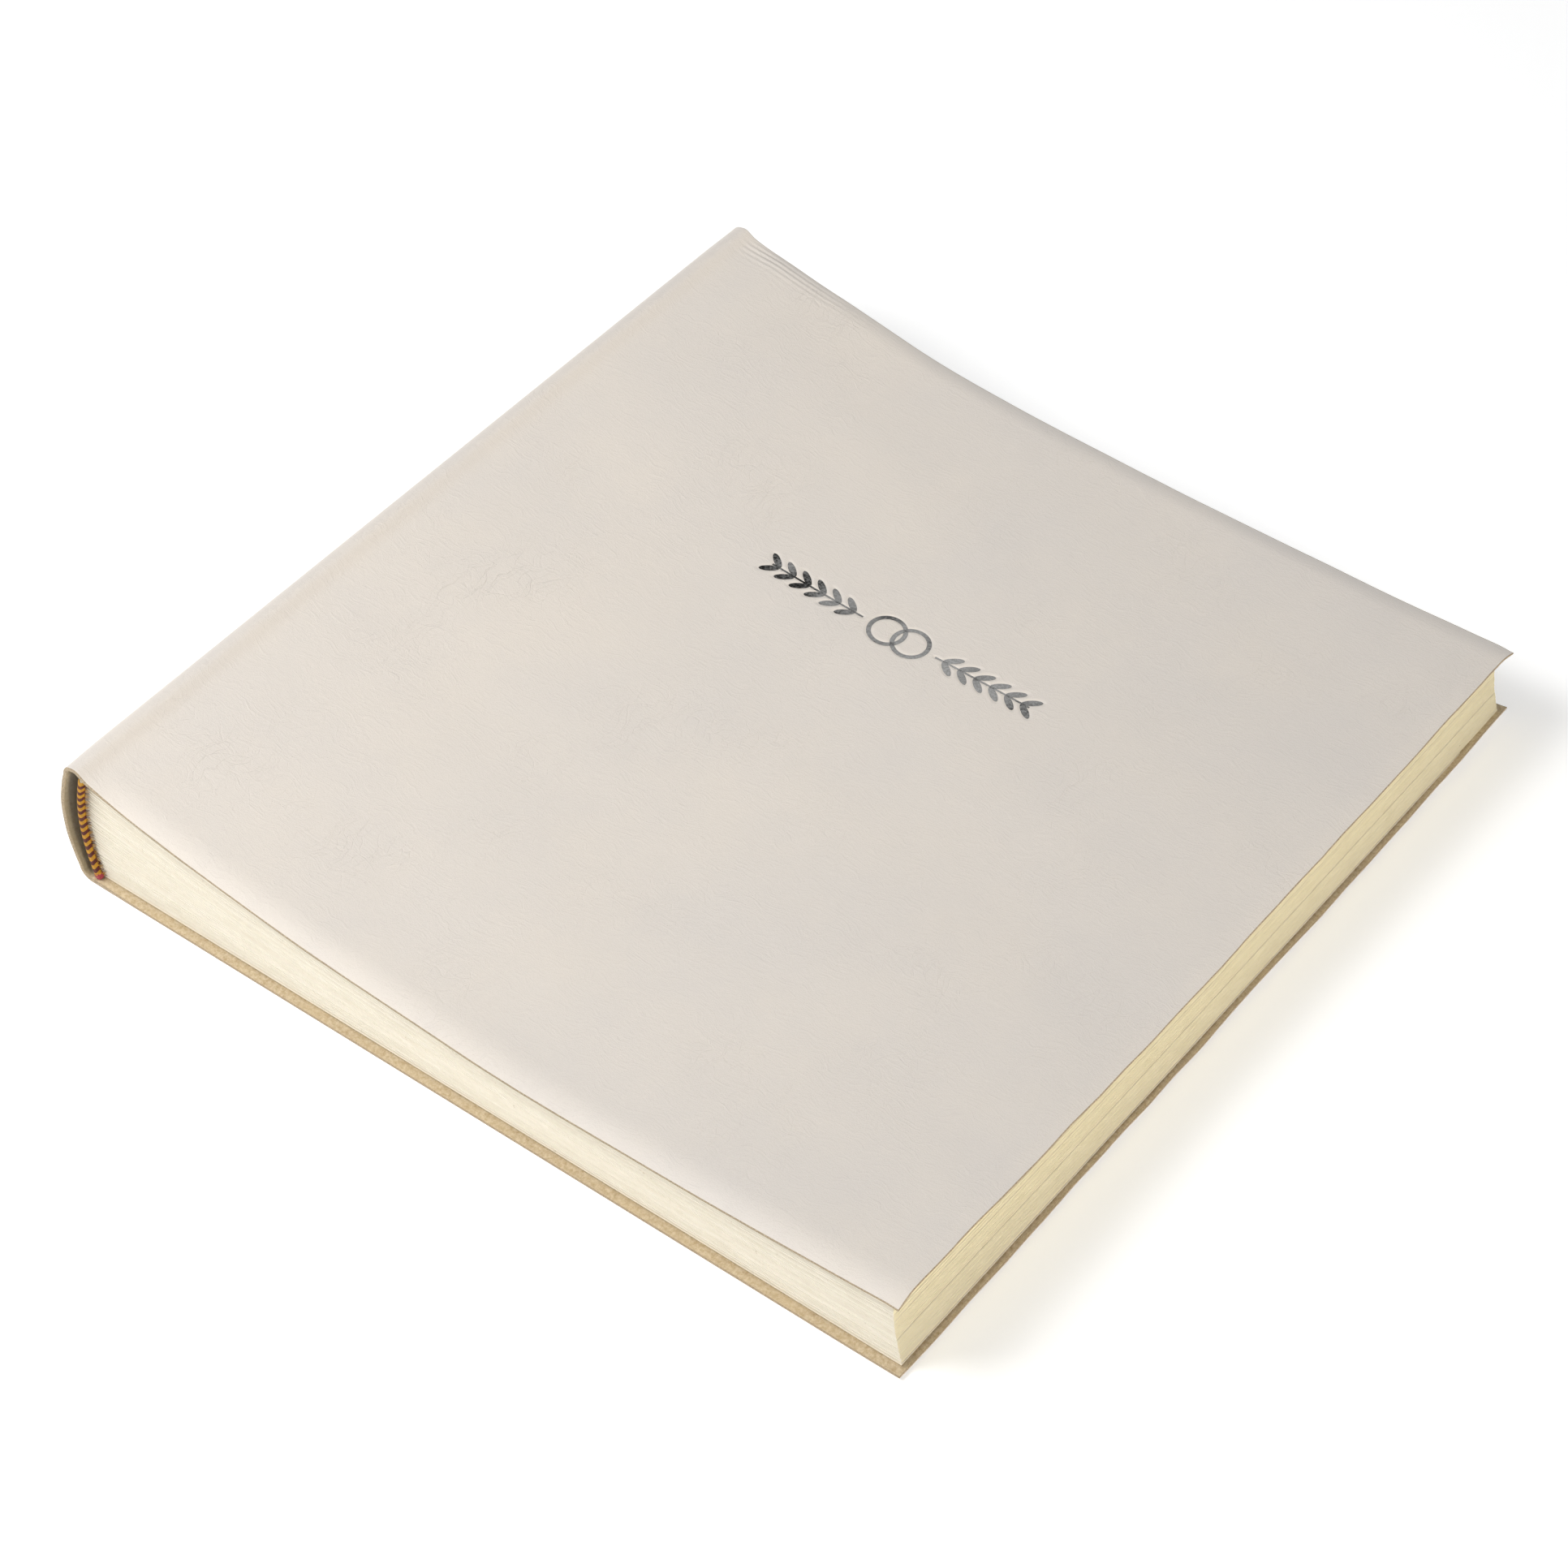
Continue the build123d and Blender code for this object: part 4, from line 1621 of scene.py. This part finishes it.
    def foot(self) -> bpy.types.Object:
        """Builds the folded end of the crimson cloth that the bead is sewn on, below its last turn.

        Returns:
            The piece, not yet on a body.
        """
        label = self.end.name.lower()
        sheet = Sheet(f"crimson_band_end_{label}", (Stuff.CRIMSON,))
        place, along, out = self.frame_at(0.0)
        size = self.radius * 1.05
        rows, flats = [], []
        for at in spread(0.0, 1.0, 6):
            centre = place + along * (at * 1.9 - 0.55)
            swell = size * (0.86 + 0.14 * math.sin(math.pi * at))
            loop, flat = [], []
            for step in range(16):
                turn = 2 * math.pi * step / 16
                shape = (abs(math.cos(turn)) ** 4 + abs(math.sin(turn)) ** 4) ** -0.25
                way = out * math.cos(turn) + np.array([0.0, 1.0, 0.0]) * math.sin(turn)
                loop.append(tuple(centre + way * swell * shape * 0.92))
                flat.append((turn * size, at * 2))
            rows.append(loop)
            flats.append(flat)
        numbers = sheet.grid(rows, flats, [0], around=True)
        sheet.cap(numbers[0][::-1], 0)
        sheet.cap(numbers[-1], 0)
        return sheet.build()

    def dress(self) -> None:
        """Builds the band and puts it on the block."""
        label = self.end.name.lower()
        gold, maroon = self.build()
        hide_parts(f"headband_silk_{label}")
        for piece in (gold, maroon, self.fringe(), self.foot()):
            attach(piece, "book_block")


# ------------------------------------------------------------------ pieces that keep their shape
@dataclass(frozen=True)
class Linings:
    """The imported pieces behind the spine, which keep their shape and get their real finish."""

    finishes: tuple[tuple[str, Stuff], ...] = (
        ("spine_liner", Stuff.KRAFT), ("spine_mull", Stuff.MULL), ("sewing_tapes", Stuff.TAPE),
        ("kettle_stitches", Stuff.THREAD), ("headband_core_head", Stuff.CORE),
        ("headband_core_tail", Stuff.CORE))
    mull_round: float = 39.3

    def dress(self) -> None:
        """Gives each piece its material."""
        for node, stuff in self.finishes:
            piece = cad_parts[node]
            piece.data.materials.clear()
            piece.data.materials.append(material(stuff))
            log.info("%s: %s", node, stuff.value.name)


# ------------------------------------------------------------------ the studio
@dataclass(frozen=True)
class Studio:
    """A pale floor that glows a little, soft lamps, a black flag and the camera.

    Places and sizes are metres here; the lens and its sensor are millimetres.
    """

    floor: str = "f7f7f6"
    floor_half: float = 20.0
    floor_glow: float = 0.28
    sky: str = "f9fbff"
    sky_strength: float = 0.46
    flag_turn: float = math.radians(121)
    flag_rise: float = math.radians(46.25)
    flag_reach: float = 1.9
    flag_half: float = 0.45
    flag_height: float = 0.6
    camera_place: Point = (0.4951, -0.6560, 0.8478)
    camera_turn: Point = (44.20, 0.0, 37.41)
    lens: float = 94.3
    sensor: float = 36.0

    def ground(self) -> None:
        """Builds the pale floor."""
        half = self.floor_half
        mesh = bpy.data.meshes.new("studio_floor")
        corners = [(-half, -half, 0), (half, -half, 0), (half, half, 0), (-half, half, 0)]
        mesh.from_pydata(corners, [], [(0, 1, 2, 3)])
        floor = bpy.data.objects.new("studio_floor", mesh)
        bpy.context.scene.collection.objects.link(floor)
        finish = bpy.data.materials.new("matt_white_paper_floor")
        finish.use_nodes = True
        shader = finish.node_tree.nodes["Principled BSDF"]
        shader.inputs["Base Color"].default_value = linear(self.floor)
        shader.inputs["Roughness"].default_value = 0.95
        shader.inputs["Specular IOR Level"].default_value = 0.1
        shader.inputs["Emission Color"].default_value = linear("ffffff")
        shader.inputs["Emission Strength"].default_value = self.floor_glow
        mesh.materials.append(finish)
        floor.location.z = -0.0004

    def lamp(self, name: str, place: Point, size: float, power: float, colour: str,
             spread_degrees: float = 180.0) -> None:
        """Adds one soft square lamp that faces the book.

        Args:
            name: Name of the lamp.
            place: Where it stands, in metres.
            size: Its side, in metres.
            power: Its power in watts.
            colour: Its colour as a hex code.
            spread_degrees: How wide its grid lets the light out.
        """
        light = bpy.data.lights.new(name, "AREA")
        light.shape = "SQUARE"
        light.size = size
        light.energy = power
        light.color = linear(colour)[:3]
        light.spread = math.radians(spread_degrees)
        lamp = bpy.data.objects.new(name, light)
        bpy.context.scene.collection.objects.link(lamp)
        lamp.location = place
        aim = -lamp.location.normalized()
        lamp.rotation_euler = aim.to_track_quat("-Z", "Y").to_euler()

    def flag(self) -> None:
        """Hangs a black flag where a low eye at the fore edge sees the foil's reflection begin."""
        side, up = self.flag_turn, self.flag_rise
        away = np.array([math.cos(side) * math.cos(up), math.sin(side) * math.cos(up), math.sin(up)])
        foot = away * self.flag_reach
        across = np.array([-math.sin(side), math.cos(side), 0.0])
        rise = np.cross(away, across)
        half, high = self.flag_half, self.flag_height
        places = ((-half, 0.0), (half, 0.0), (half, high), (-half, high))
        corners = [foot + across * w + rise * h for w, h in places]
        mesh = bpy.data.meshes.new("black_flag")
        mesh.from_pydata([tuple(corner) for corner in corners], [], [(0, 1, 2, 3)])
        cloth = bpy.data.materials.new("black_flag_felt")
        cloth.use_nodes = True
        shader = cloth.node_tree.nodes["Principled BSDF"]
        shader.inputs["Base Color"].default_value = linear("0a0a0a")
        shader.inputs["Roughness"].default_value = 1.0
        mesh.materials.append(cloth)
        flag = bpy.data.objects.new("black_flag", mesh)
        bpy.context.scene.collection.objects.link(flag)

    def dress(self) -> None:
        """Builds the floor, lamps, sky and camera."""
        self.ground()
        self.lamp("key_softbox", (-0.66, -0.58, 0.94), 0.7, 12.5, "fffefd")
        self.lamp("fore_reflector", (1.7, -0.52, 0.26), 0.45, 2.1, "fff6e6", 60.0)
        self.flag()
        world = bpy.data.worlds.new("pale_studio")
        world.use_nodes = True
        sky = world.node_tree.nodes["Background"]
        sky.inputs["Color"].default_value = linear(self.sky)
        sky.inputs["Strength"].default_value = self.sky_strength
        bpy.context.scene.world = world
        bpy.context.scene.view_settings.view_transform = "Standard"
        view = bpy.data.cameras.new("camera")
        view.lens = self.lens
        view.sensor_width = self.sensor
        camera = bpy.data.objects.new("camera", view)
        bpy.context.scene.collection.objects.link(camera)
        camera.location = self.camera_place
        camera.rotation_euler = [math.radians(turn) for turn in self.camera_turn]
        bpy.context.scene.camera = camera


def main() -> None:
    """Builds the studio and then the book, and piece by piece."""
    Studio().dress()
    case = LeatherCase()
    case.dress()
    Foil(case).dress()
    block = SewnBlock()
    block.dress()
    Endpapers(case, block).dress()
    for end in End:
        Headband(end).dress()
    Linings().dress()


if __name__ == "__main__":
    main()
